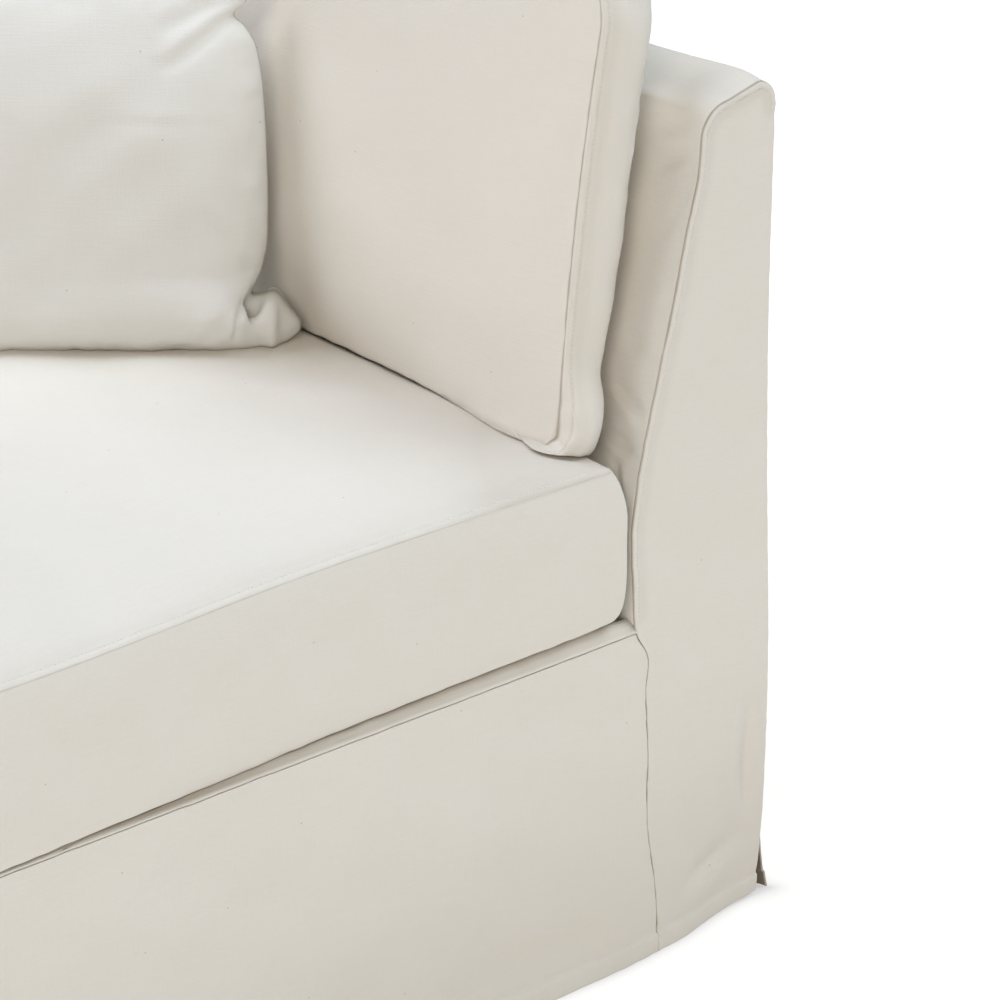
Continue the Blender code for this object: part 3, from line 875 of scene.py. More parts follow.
@dataclass
class OutsidePanel(Panel):
    """Flat outside of a back, from its top seam to the hem, gaping at the vent."""

    node: str = "right_outside_panel"
    flat: Pair = (0.905, 0.800)
    seed: int = 31
    coarse: float = 0.0100
    billow: float = 0.0012
    seam_share: float = 0.5
    folds: tuple[Crease, ...] = creases(
        (0.1, 0.04, 0.28, 0.2, 0.03, 0.0022), (0.78, 0.05, 0.6, 0.23, 0.03, 0.002),
        (0.06, 0.7, 0.24, 0.6, 0.022, 0.0012), (0.84, 0.72, 0.64, 0.61, 0.024, 0.0012),
        (0.42, 0.06, 0.47, 0.33, 0.034, 0.0018),
    )

    def surface(self) -> ClothGrid:
        """The grid runs from the front vent's edge (or the left one) to the rear corner, hem to top seam."""
        top = SHAPE.outer_corner_height - SHAPE.seam_gap
        z = self.upright(top)
        width = self.flat[0] - self.trim
        across = stations(width, self.coarse)[None, :]
        if self.mirrored:
            low = SHAPE.left_x(SHAPE.rear + SHAPE.flare(z), z) + SHAPE.butt
            run = low + (SHAPE.right_x(SHAPE.rear, z) - low) * across / width
            grid = ClothGrid.laid(run, SHAPE.rear_y(run, z), z, across, z, flip=True)
        else:
            low = SHAPE.front_y(SHAPE.right + SHAPE.flare(z), z) + SHAPE.butt
            run = low + (SHAPE.rear_y(SHAPE.right, z) - SHAPE.butt - low) * across / width
            grid = ClothGrid.laid(SHAPE.right_x(run, z), run, z, across, z, flip=False)
        from_end, from_top = width - grid.across, top - grid.along
        seams = (grid.across, grid.along), (from_end, grid.along), (from_top, grid.across)
        relief = grid.seams(self.seed, *seams, share=self.seam_share)
        relief = relief + grid.hemmed(self.seed + 3)
        return self.finished(grid, relief, np.minimum(grid.across, from_end), from_top)


@dataclass
class InsideBack(Panel):
    """Raked inside face and rolled top of a back, in one strip of cloth, mitred at the rear corner."""

    node: str = "right_inside_back"
    flat: Pair = (0.885, 0.590)
    seed: int = 41
    area: float | None = 0.455
    held: str = "stretched"
    coarse: float = 0.0085
    billow: float = 0.0011
    coarse_up: float = 0.0042
    coarse_end: float = 0.0034
    end_zone: float = 0.110
    path_step: float = 0.0015
    upright_ends: Pair = (0.030, 0.005)
    fold_height: float = 0.0070
    fold_width: float = 0.0070
    fold_along: float = 0.4605
    fold_ends: Pair = (0.012, 0.060)
    crevice_painted_shade: float = 0.11
    crevice_across: Pair = (0.07, 0.16)
    crevice_low: Pair = (0.06, 0.26)
    crevice_high: float = 0.41
    still: Pair = (0.02, 0.05)
    folds: tuple[Crease, ...] = creases(
        (0.001, 0.193, 0.055, 0.215, 0.0045, 0.0036, 0.7), (0.002, 0.16, 0.058, 0.172, 0.005, 0.0036, 0.7),
        (0.014, 0.184, 0.042, 0.19, 0.004, -0.0018, 0.0), (0.004, 0.11, 0.023, 0.148, 0.004, -0.0024, 0.0),
        (0.012, 0.105, 0.034, 0.152, 0.005, 0.003, 0.4), (0.003, 0.242, 0.052, 0.262, 0.007, 0.0018, 0.6),
        (0.01, 0.02, 0.07, 0.066, 0.006, 0.004, 0.7), (0.008, 0.45, 0.066, 0.438, 0.0045, 0.0012, 0.6),
        (0.012, 0.432, 0.052, 0.402, 0.006, 0.0011, 0.6), (0.03, 0.414, 0.082, 0.427, 0.0055, 0.001, 0.6),
        (0.006, 0.398, 0.032, 0.345, 0.007, 0.001, 0.6), (0.13, 0.05, 0.3, 0.14, 0.016, 0.0014),
    )

    def columns(self) -> Array:
        """Places of the grid's columns, crowded in the zone behind the end seam."""
        near_end = stations(self.end_zone, self.coarse_end, fine_end=False)
        width = self.flat[0] - self.trim
        beyond = self.end_zone + stations(width - self.end_zone, self.coarse, fine_start=False)
        return np.concatenate([near_end, beyond[1:]])

    def ends(self, depth: Array, z: Array) -> Arrays:
        """Where each row starts at the end seam and stops at the mitre, along the back."""
        if self.mirrored:
            return SHAPE.left_x(SHAPE.rear - depth, z) + SHAPE.butt, SHAPE.right - depth - SHAPE.mitre_gap
        low, high = (SHAPE.inner_corner_height - end for end in self.upright_ends)
        lap = SHAPE.mitre_lap * (1 - smooth_step(low, high, z))
        stop = SHAPE.rear - depth - SHAPE.mitre_gap - SHAPE.butt * self.outward(depth, z) + lap
        return SHAPE.front_y(SHAPE.right - depth, z) + SHAPE.butt, stop

    def outward(self, depth: Array, z: Array) -> Array:
        """How far the cloth faces outward on the rounded outer corner: 0 on top, 1 at the outside seam."""
        share = (SHAPE.outer_corner - depth) / SHAPE.outer_corner
        return np.where(z < SHAPE.outer_corner_height - SHAPE.gap, 0.0, np.clip(share, 0.0, 1.0))

    def surface(self) -> ClothGrid:
        """Rows follow the section, columns run from the end seam, where the cloth puffs up, to the mitre."""
        path = SHAPE.back_path(SHAPE.back_foot, self.path_step)
        climb = stations(lengths_along(path)[-1], self.coarse_up, fine_start=False)
        section = resampled(path, climb)
        depth, z = section[:, :1], section[:, 1:]
        across = self.columns()
        low, high = self.ends(depth, z)
        run = low + (high - low) * across / across[-1]
        reach = (run - low) / SHAPE.ear_reach
        top = np.clip((z - SHAPE.inner_corner_height) / SHAPE.inner_corner, 0.0, 1.0)
        puffed = z + SHAPE.ear_rise * reach * np.exp(1 - reach) * top * (1 - self.outward(depth, z))
        along = climb[:, None]
        if self.mirrored:
            grid = ClothGrid.laid(run, SHAPE.rear - depth, puffed, run - low, along, flip=False)
        else:
            grid = ClothGrid.laid(SHAPE.right - depth, run, puffed, run - low, along, flip=True)
        from_end, from_top = high - run, climb[-1] - grid.along
        seams = (grid.across, grid.along), (from_end, grid.along), (from_top, grid.across)
        relief = grid.seams(self.seed, *seams)
        # Painted shade in the strip between the back cushion and the end seam: strongest by the seam, fading
        # out near the deck and below the fold at the top.
        crevice_shade = self.crevice_painted_shade * (1 - smooth_step(*self.crevice_across, grid.across))
        crevice_shade = crevice_shade * smooth_step(*self.crevice_low, grid.along)
        grid.darken(crevice_shade * (1 - smooth_step(self.crevice_high, self.fold_along, grid.along)))
        fold = self.fold_height * hill(grid.along - self.fold_along, self.fold_width)
        relief = relief + fold * smooth_step(*self.fold_ends, grid.across)
        return self.finished(grid, relief, np.minimum(grid.across, from_end), from_top)


@dataclass
class DeckPanel(Panel):
    """Deck under the seat cushion, rolled down to the base seam along its two open edges."""

    node: str = "deck_panel"
    flat: Pair = (0.805, 0.742)
    seed: int = 51
    held: str = "laid"
    coarse: float = 0.0120
    roll: float = 0.0073
    roll_rows: int = 9
    seam_tone: float = 0.22
    ruck: float = 0.0009
    ruck_lengths: Pair = (0.10, 0.022)
    ruck_stretch: float = 0.5
    ruck_edge: Pair = (0.001, 0.006)
    ruck_reach: float = 0.060
    # Share of painted shade along the open edges, by the distance from the front left corner along each.
    painted_shade_rows: Rows = (
        (0.0, 0.6), (0.2, 0.85), (0.29, 1.0), (0.33, 0.96), (0.37, 0.86), (0.41, 0.66), (0.48, 0.55),
        (0.57, 0.44), (0.665, 0.32), (0.75, 0.2), (0.83, 0.16),
    )
    puff: float = 0.0050
    puff_place: float = 0.0140
    puff_width: float = 0.0060
    puff_ends: Pair = (0.30, 0.70)
    painted_shade_edge: Pair = (0.0005, 0.005)
    painted_shade_reach: float = 0.20

    def rolled(self, edge: float, far: float) -> tuple[Array, Array, Array]:
        """Cloth lengths, positions and drops from a rolled edge to a plain one."""
        arc = self.roll * QUARTER
        flat = stations(arc + (far - edge - self.roll), self.coarse, fine_end=False)
        along = np.unique(np.concatenate([np.linspace(0.0, arc, self.roll_rows), flat]))
        angle = np.clip(along / self.roll, 0.0, QUARTER)
        place = edge + self.roll * (1 - np.cos(angle)) + np.maximum(along - arc, 0.0)
        return along, place, self.roll * (1 - np.sin(angle))

    def surface(self) -> ClothGrid:
        """Flat deck less the deeper of its two rolled drops, rucked along the edges it is pulled over."""
        across, x, side_drop = self.rolled(SHAPE.left, SHAPE.right - SHAPE.deck_edge_depth)
        along, y, front_drop = self.rolled(SHAPE.front, SHAPE.rear - SHAPE.deck_edge_depth)
        height = SHAPE.deck_top - np.maximum(side_drop[None, :], front_drop[:, None])
        grid = ClothGrid.laid(x[None, :], y[:, None], height, across[None, :], along[:, None], flip=False)
        seams = (grid.along, grid.across), (grid.across, grid.along)
        relief = grid.seams(self.seed, *seams, tone=self.seam_tone)
        edge = np.minimum(grid.along, grid.across)
        wave = Unevenness(self.ruck, *self.ruck_lengths, self.seed + 2, stretch=self.ruck_stretch)
        open_edge = smooth_step(*self.ruck_edge, edge) * fade_out(edge, self.ruck_reach)
        # Painted shade on the strip that shows under the seat cushion's front edge: strongest near the front
        # left corner, fading towards the far ends and inwards over the deck.
        painted_shade = smooth_curve(self.painted_shade_rows, np.maximum(grid.across, grid.along))
        grid.darken(painted_shade * smooth_step(*self.painted_shade_edge, edge) * fade_out(edge, self.painted_shade_reach))
        puff = self.puff * hill(edge - self.puff_place, self.puff_width)
        puff = puff * smooth_step(*self.puff_ends, grid.across)
        grid.raised(relief + puff - np.abs(wave.at(grid.across, grid.along)) * open_edge)
        return grid


# ---- filled pieces ----


@dataclass
class Shell:
    """Closed shell of a filled piece: its points, quads, cloth coordinates, relief and shade."""

    points: Array
    quads: Array
    uv: Array
    height: Array
    shade: Array

    def normals(self) -> Array:
        """Unit normal at each point: the mean of its quads' diagonal cross products."""
        corner = self.points[self.quads]
        facing = np.cross(corner[:, 2] - corner[:, 0], corner[:, 3] - corner[:, 1])
        total = np.zeros_like(self.points)
        for k in range(4):
            for axis in range(3):
                total[:, axis] += np.bincount(self.quads[:, k], facing[:, axis], len(total))
        return unit(total)

    def raise_relief(self) -> None:
        """Moves each point along the shell's normal by its height."""
        self.points = self.points + self.normals() * self.height[:, None]

    def build(self, node: str, cloth: Material, fill: float) -> None:
        piece = dressed(make_object(f"{node}_cloth", self.points, self.quads, self.uv, self.shade), cloth)
        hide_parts(node)


def rim_numbers(rows: int, columns: int) -> Array:
    """Point numbers round the rim of a grid, the first row forwards, then up, back and down."""
    number = numbered(rows, columns)
    return np.concatenate([number[0, :-1], number[:-1, -1], number[-1, :0:-1], number[:0:-1, 0]])


@dataclass
class BoxedCushion:
    """Boxed cushion: two panels joined by a boxing strip; beside one of the seams runs a row of stitches.

    The piece is worked in its own plan, u and v across the panels and t through the thickness, each from -1
    to 1; body() says where a place of that box lies.
    """

    node: str = "cushion"
    width: float = 0.8
    length: float = 0.7
    thickness: float = 0.15
    corner: float = 0.018
    far_corner: float = 0.018
    coarse: float = 0.0052
    coarse_side: float = 0.0046
    fill: float = 0.8
    seed: int = 61
    unevenness: float = 0.0016
    side_unevenness: float = 0.0018
    pucker: float = 0.0006
    seam_share: float = 1.0
    seam_shade: float = 0.6
    pucker_lengths: Pair = (0.042, 0.012)
    hill_lengths: Pair = (0.30, 0.07)
    swell_lengths: Pair = (0.16, 0.035)
    still: Pair = (0.035, 0.03)
    works: tuple[Edge, ...] = (Edge.SEAM,) * 4

    def body(self, u: Array, v: Array, t: Array) -> Array:
        """Place of the plain shape at shares u, v and t."""
        raise NotImplementedError

    def rounded(self, u: Array, v: Array) -> Arrays:
        """Shares with the plan's four corners rounded.

        Inside a corner's square the square rings round its inner corner become circular ones.
        """
        half_u, half_v = self.width / 2, self.length / 2
        radius = np.where(v > 0, self.far_corner, self.corner)
        over_u = np.maximum(np.abs(u) * half_u - (half_u - radius), 0.0)
        over_v = np.maximum(np.abs(v) * half_v - (half_v - radius), 0.0)
        ring = np.maximum(over_u, over_v)
        shrink = np.where(ring > 0, ring / np.maximum(np.hypot(over_u, over_v), TINY), 1.0)
        new_u = np.abs(u) * half_u - over_u * (1 - shrink)
        new_v = np.abs(v) * half_v - over_v * (1 - shrink)
        return np.sign(u) * new_u / half_u, np.sign(v) * new_v / half_v

    def plan(self) -> Arrays:
        """Stations across and along the panels, in metres from one corner."""
        return stations(self.width, self.coarse), stations(self.length, self.coarse)

    def shell(self) -> Shell:
        """The cushion's closed shell: two grids of the same plan, their rims joined by a band of rows."""
        across, along = self.plan()
        rows, columns = len(along), len(across)
        flat_u, flat_v = np.meshgrid(across, along)
        u, v = self.rounded(2 * flat_u / self.width - 1, 2 * flat_v / self.length - 1)
        rim, count = rim_numbers(rows, columns), rows * columns
        up = stations(self.thickness, self.coarse_side)
        rise = 2 * up[1:-1] / self.thickness - 1
        parts = [self.body(u, v, np.full_like(u, side)) for side in (-1.0, 1.0)]
        parts.append(self.body(u.ravel()[rim][None, :], v.ravel()[rim][None, :], rise[:, None]))
        points = np.concatenate([part.reshape(-1, 3) for part in parts])
        number, band = numbered(rows, columns), numbered(len(rise), len(rim), 2 * count)
        ring = closed(np.concatenate([rim[None, :], band, rim[None, :] + count]))
        flat = np.stack([flat_u, flat_v], axis=-1)
        side_uv = np.stack(np.broadcast_arrays(lengths_along(points[ring[0]]), up[:, None]), axis=-1)
        grids = (number, True), (number + count, False), (ring, False)
        cloth = (flat, True), (flat, False), (side_uv, False)
        quads, uv = (np.concatenate([quad_corners(*grid) for grid in kind]) for kind in (grids, cloth))
        shell = Shell(points, quads, uv.reshape(-1, 2), *self.relief(parts, flat, up[1:-1]))
        shell.raise_relief()
        shell.points = self.settled(shell.points)
        shell.shade = np.maximum(shell.shade, self.contact(shell.points))
        return shell

    def relief(self, parts: list[Array], flat: Array, up: Array) -> Arrays:
        """Relief and shade of the panels and the boxing: seams, puckers that die out from them, slow hills.

        Args:
            parts: Places of the two panels and of the boxing.
            flat: Cloth coordinates of a panel.
            up: Distances of the boxing's rows from its first seam.

        Returns:
            Heights and shades of all points, part by part.
        """
        u, v, side = flat[..., 0], flat[..., 1], parts[-1]
        distance = np.minimum.reduce([u, self.width - u, v, self.length - v])
        from_near = np.broadcast_to(up[:, None], side.shape[:2])
        gaps = distance, distance, from_near, self.thickness - from_near
        work = [self.worked(k, gap, part) for k, (gap, part) in enumerate(zip(gaps, (*parts, side)))]
        quiet = smooth_step(0.0, self.still[0], distance)
        waves = [Unevenness(self.unevenness, *self.hill_lengths, self.seed + k).at(u, v) for k in (5, 6)]
        swell = Unevenness(self.side_unevenness, *self.swell_lengths, self.seed + 7)
        swell = swell.at(*np.moveaxis(side, -1, 0)) * smooth_step(0.0, self.still[1], np.minimum(*gaps[2:]))
        heights = [face[0] + wave * quiet for face, wave in zip(work, waves)]
        heights.append(work[2][0] + work[3][0] + swell)
        shades = work[0][1], work[1][1], np.maximum(work[2][1], work[3][1])
        return tuple(np.concatenate([part.ravel() for part in kind]) for kind in (heights, shades))

    def worked(self, number: int, distance: Array, places: Array) -> Arrays:
        """Relief and shade beside one seam, puckered by waves that run through space."""
        wave = Unevenness(self.pucker, *self.pucker_lengths, self.seed + number)
        puckers = wave.at(*np.moveaxis(places, -1, 0))
        relief = SEWING.relief(self.works[number], distance, puckers, turned=False)
        return relief * self.seam_share, SEWING.shade(self.works[number], distance) * self.seam_shade

    def settled(self, points: Array) -> Array:
        """Points kept off whatever the cushion rests on."""
        return points

    def stitch_line(self) -> Array:
        """Point numbers of the closed row of topstitching."""
        raise NotImplementedError

    @property
    def stitch_step(self) -> int:
        """Number of the grid line at the stitching's distance from a seam."""
        return int(np.argmin(np.abs(FINE_STEPS - SEWING.stitch_line)))

    def contact(self, points: Array) -> Array:
        """Share of shade where the cushion meets what it stands on, none by default."""
        return np.zeros(len(points))

    def build(self, cloth: Material, thread: Material) -> int:
        shell = self.shell()
        shell.build(self.node, cloth, self.fill)
        line = self.stitch_line()
        dressed(THREAD.row(f"{self.node}_topstitching_1", shell.points[line], shell.normals()[line]), thread)
        return 2


@dataclass
class SeatCushion(BoxedCushion):
    """Boxed seat cushion on the deck: crowned above, tucked in at the foot, bowed at the sides."""

    node: str = "seat_cushion"
    left_inset: float = 0.0040
    front_inset: float = 0.0010
    back_depth: float = 0.1780
    seam_height: float = 0.4935
    foot: float = 0.3368
    crown: float = 0.0100
    shoulder: float = 0.0130
    side_bulge: float = 0.0140
    draw: float = 0.0040
    foot_tuck: float = 0.0055
    corner_lift: float = 0.0060
    rim_lift: float = 0.0066
    front_sag: float = 0.0090
    overhang: float = 0.0036
    contact_tone: float = 0.50
    contact_reach: float = 0.0040
    corner_shade_tone: float = 0.70
    corner_shade_limit: float = 0.30
    corner_shade_reach: float = 0.13
    corner_shade_edge: Pair = (0.003, 0.001)
    foot_power: int = 8
    bow_power: int = 4
    shoulder_powers: tuple[int, int] = (28, 16)
    slack_across: Pair = (0.25, -0.55)
    slack_along: Pair = (0.3, 1.0)
    front_bulge: float = 0.6
    lap_out: float = 1.8
    lap_edge: Pair = (0.988, 1.0)
    rim_power: int = 24
    rim_across: Pair = (-0.2, 0.8)
    corner_power: int = 10
    overhang_edge: Pair = (0.0015, 0.0010)
    thickness: float = 0.170
    corner: float = 0.009
    far_corner: float = 0.012
    side_unevenness: float = 0.0011
    seam_share: float = 0.42
    seam_shade: float = 0.5
    works: tuple[Edge, ...] = (Edge.SEAM, Edge.TOPSTITCHED, Edge.SEAM, Edge.SEAM)

    def __post_init__(self) -> None:
        """Plan size from the faces of the cover."""
        self.low = np.array([SHAPE.left + self.left_inset, SHAPE.front + self.front_inset])
        self.high = np.array([SHAPE.right - self.back_depth, SHAPE.rear - self.back_depth])
        self.width, self.length = (self.high - self.low).tolist()
        self.middle, self.half = (self.low + self.high) / 2, (self.high - self.low) / 2

    def top(self, u: Array, v: Array) -> Array:
        """Height of the crown at shares of the plan: the seam's, plus a wide crown and a quick shoulder."""
        crown = self.crown * (1 - np.abs(u) ** self.bow_power) * (1 - np.abs(v) ** self.bow_power)
        powers = self.shoulder_powers
        shoulder = self.shoulder * (1 - np.abs(u) ** powers[0]) * (1 - np.abs(v) ** powers[1])
        return self.seam_height + crown + shoulder

    def height_under(self, points: Array) -> Array:
        """Height of the cushion's top under or over each point."""
        share = np.clip((points[..., :2] - self.middle) / self.half, -1, 1)
        return self.top(share[..., 0], share[..., 1])

    def contact(self, points: Array) -> Array:
        """Share of painted shade on the top, deepest about its front right corner."""
        away = np.hypot(points[:, 0] - self.high[0], points[:, 1] - self.low[1])
        below, above = self.corner_shade_edge
        top = smooth_step(self.seam_height - below, self.seam_height + above, points[:, 2])
        return top * np.minimum(self.corner_shade_tone * hill(away, self.corner_shade_reach), self.corner_shade_limit)

    def contact_shade(self, points: Array) -> Array:
        """Share of shade on a piece that stands on the seat, by its height over the seat."""
        return self.contact_tone * hill(points[:, 2] - self.height_under(points), self.contact_reach)

    def body(self, u: Array, v: Array, t: Array) -> Array:
        """Plan place pushed out by the bulge, less the draw between corners; height from foot to crown."""
        u, v, t = np.broadcast_arrays(u, v, t)
        at_foot = np.maximum(-t, 0.0) ** self.foot_power
        bulge = self.side_bulge * (1 - np.abs(t) ** self.bow_power) - self.foot_tuck * at_foot
        slack = smooth_step(*self.slack_across, u) * smooth_step(*self.slack_along, -v)
        lap = self.overhang * slack * at_foot
        x = self.middle[0] + u * (self.half[0] + bulge - self.draw * (1 - v * v))
        pushed = bulge * self.front_bulge - self.draw * (1 - u * u) + self.lap_out * lap
        y = self.middle[1] + v * (self.half[1] + pushed)
        rim = np.maximum(np.abs(u), np.abs(v)) ** self.rim_power * smooth_step(*self.rim_across, u)
        lift = at_foot * (self.corner_lift * np.abs(u * v) ** self.corner_power + self.rim_lift * rim)
        z = self.foot + (self.top(u, v) - self.front_sag * slack - self.foot) * (t + 1) / 2 + lift
        return np.stack([x, y, z - lap * smooth_step(*self.lap_edge, -v)], axis=-1)

    def settled(self, points: Array) -> Array:
        """Keeps the foot on the deck, or just over its rolled edge."""
        behind, ahead = self.overhang_edge
        over = smooth_step(SHAPE.front + behind, SHAPE.front - ahead, points[:, 1])
        points[:, 2] = np.maximum(points[:, 2], self.foot - self.overhang * over)
        return points

    def stitch_line(self) -> Array:
        """One row round the top panel."""
        across, along = (len(lines) for lines in self.plan())
        step, number = self.stitch_step, numbered(along, across, along * across)
        inner = number[step : along - step, step : across - step]
        return inner.ravel()[rim_numbers(*inner.shape)]


@dataclass
class BackCushion(BoxedCushion):
    """Boxed back cushion leaning on the right back and standing on the seat."""

    node: str = "back_cushion"
    seat: SeatCushion | None = None
    width: float = 0.610
    length: float = 0.450
    thickness: float = 0.068
    corner: float = 0.016
    far_corner: float = 0.075
    lean: float = math.radians(7.6)
    start: float = 0.050
    foot_depth: float = 0.1690
    foot_height: float = 0.487
    face_crown: float = 0.034
    rear_crown: float = 0.022
    end_bulge: float = 0.014
    draw: float = 0.010
    heel_tuck: float = 0.014
    heel_corner: float = 0.018
    heel_reach: float = 0.30
    thinning: float = 0.010
    corner_rise: float = 0.016
    rise_reach: float = 0.030
    kick_lift: float = 0.26
    kick_power: int = 8
    edge_power: int = 4
    crown_power: int = 3
    heel_power: int = 6
    heel_slack: Pair = (0.0, 0.95)
    belly: float = 0.026
    belly_low: Pair = (0.55, 0.90)
    belly_ease: float = 0.5
    belly_ease_power: int = 24
    belly_peak: float = 1.69
    belly_reach: float = 0.22
    lip: float = 0.024
    lip_ends: Triple = (-1.0, -0.75, 0.45)
    lip_reach: float = 0.10
    lip_power: int = 7
    kick_rows: Rows = (
        (-1.0, 0.003), (-0.99, 0.008), (-0.976, 0.0125), (-0.955, 0.0165), (-0.93, 0.0195), (-0.9, 0.022),
        (-0.85, 0.0235), (-0.75, 0.0215), (-0.6, 0.0135), (-0.45, 0.0065), (-0.3, 0.0015), (-0.2, 0.0),
    )
    seam_shade: float = 0.95
    wall_gap: float = 0.0012
    rest_gap: float = 0.0021
    seed: int = 81
    works: tuple[Edge, ...] = (Edge.SEAM, Edge.SEAM, Edge.TOPSTITCHED, Edge.SEAM)

    def shift(self, u: Array, v: Array, t: Array) -> Array:
        """How far the foot is pushed forward: its heel tucked in, its front corner kicked out."""
        foot = np.maximum(-v, 0.0)
        slack = self.thinning + self.heel_corner * smooth_step(*self.heel_slack, -v)
        heel = self.heel_tuck * t * foot**self.heel_power + slack * t * hill(u + 1, self.heel_reach)
        kick = smooth_curve(self.kick_rows, u) * np.abs(t) * foot**self.kick_power
        start, peak, end = self.lip_ends
        lip = smooth_step(start, peak, t) * (1 - smooth_step(peak, end, t)) * hill(u + 1, self.lip_reach)
        return np.where(t > 0, heel, kick) + self.lip * lip * foot**self.lip_power

    def body(self, u: Array, v: Array, t: Array) -> Array:
        """Crowned box, tipped about the foot and moved to its place, then kept off the wall and the seat."""
        u, v, t = np.broadcast_arrays(u, v, t)
        foot, power, crowned = np.maximum(-v, 0.0), self.edge_power, self.crown_power
        across = (1 - np.abs(u) ** crowned) * (1 - np.abs(v) ** crowned)
        crown = np.where(t > 0, self.rear_crown, self.face_crown)
        x = t * (self.thickness / 2 + crown * across) - self.shift(u, v, t)
        bulge = self.end_bulge * (1 - t * t)
        y = u * (self.width / 2 + bulge * (1 - v**power) - self.draw * (1 - v * v))
        low = smooth_step(*self.belly_low, -v) * (1 - self.belly_ease * foot**self.belly_ease_power)
        belly = self.belly * low * (1 - t * t) * (1 - t) ** 2 / self.belly_peak
        y = y - belly * hill(u + 1, self.belly_reach)
        rise = self.length / 2
        z = rise + v * (rise + bulge * (1 - u**power) - self.draw * (1 - u * u))
        corner = foot**self.kick_power, t**power
        z = z + self.corner_rise * hill(u + 1, self.rise_reach) * corner[0] * corner[1]
        z = z + self.kick_lift * smooth_curve(self.kick_rows, u) * corner[0] * corner[1]
        turned_x = x * math.cos(self.lean) + z * math.sin(self.lean) + SHAPE.right - self.foot_depth
        turned_z = z * math.cos(self.lean) - x * math.sin(self.lean) + self.foot_height
        placed_y = y + SHAPE.front + self.start + self.width / 2
        return self.settled(np.stack([turned_x, placed_y, turned_z], axis=-1))

    def settled(self, points: Array) -> Array:
        """Keeps the rear off the wall and the foot off the seat."""
        low = np.minimum(points[..., 2], SHAPE.inner_corner_height)
        points[..., 0] = np.minimum(points[..., 0], SHAPE.right - SHAPE.back_depth(low) - self.wall_gap)
        points[..., 2] = np.maximum(points[..., 2], self.seat.height_under(points) + self.rest_gap)
        return points

    def contact(self, points: Array) -> Array:
        """Soft shade along the line where the foot meets the seat."""
        return self.seat.contact_shade(points)

    def stitch_line(self) -> Array:
        """One row round the boxing, beside the front seam."""
        across, along = (len(lines) for lines in self.plan())
        lap = 2 * (across + along) - 4
        return 2 * across * along + (self.stitch_step - 1) * lap + np.arange(lap)


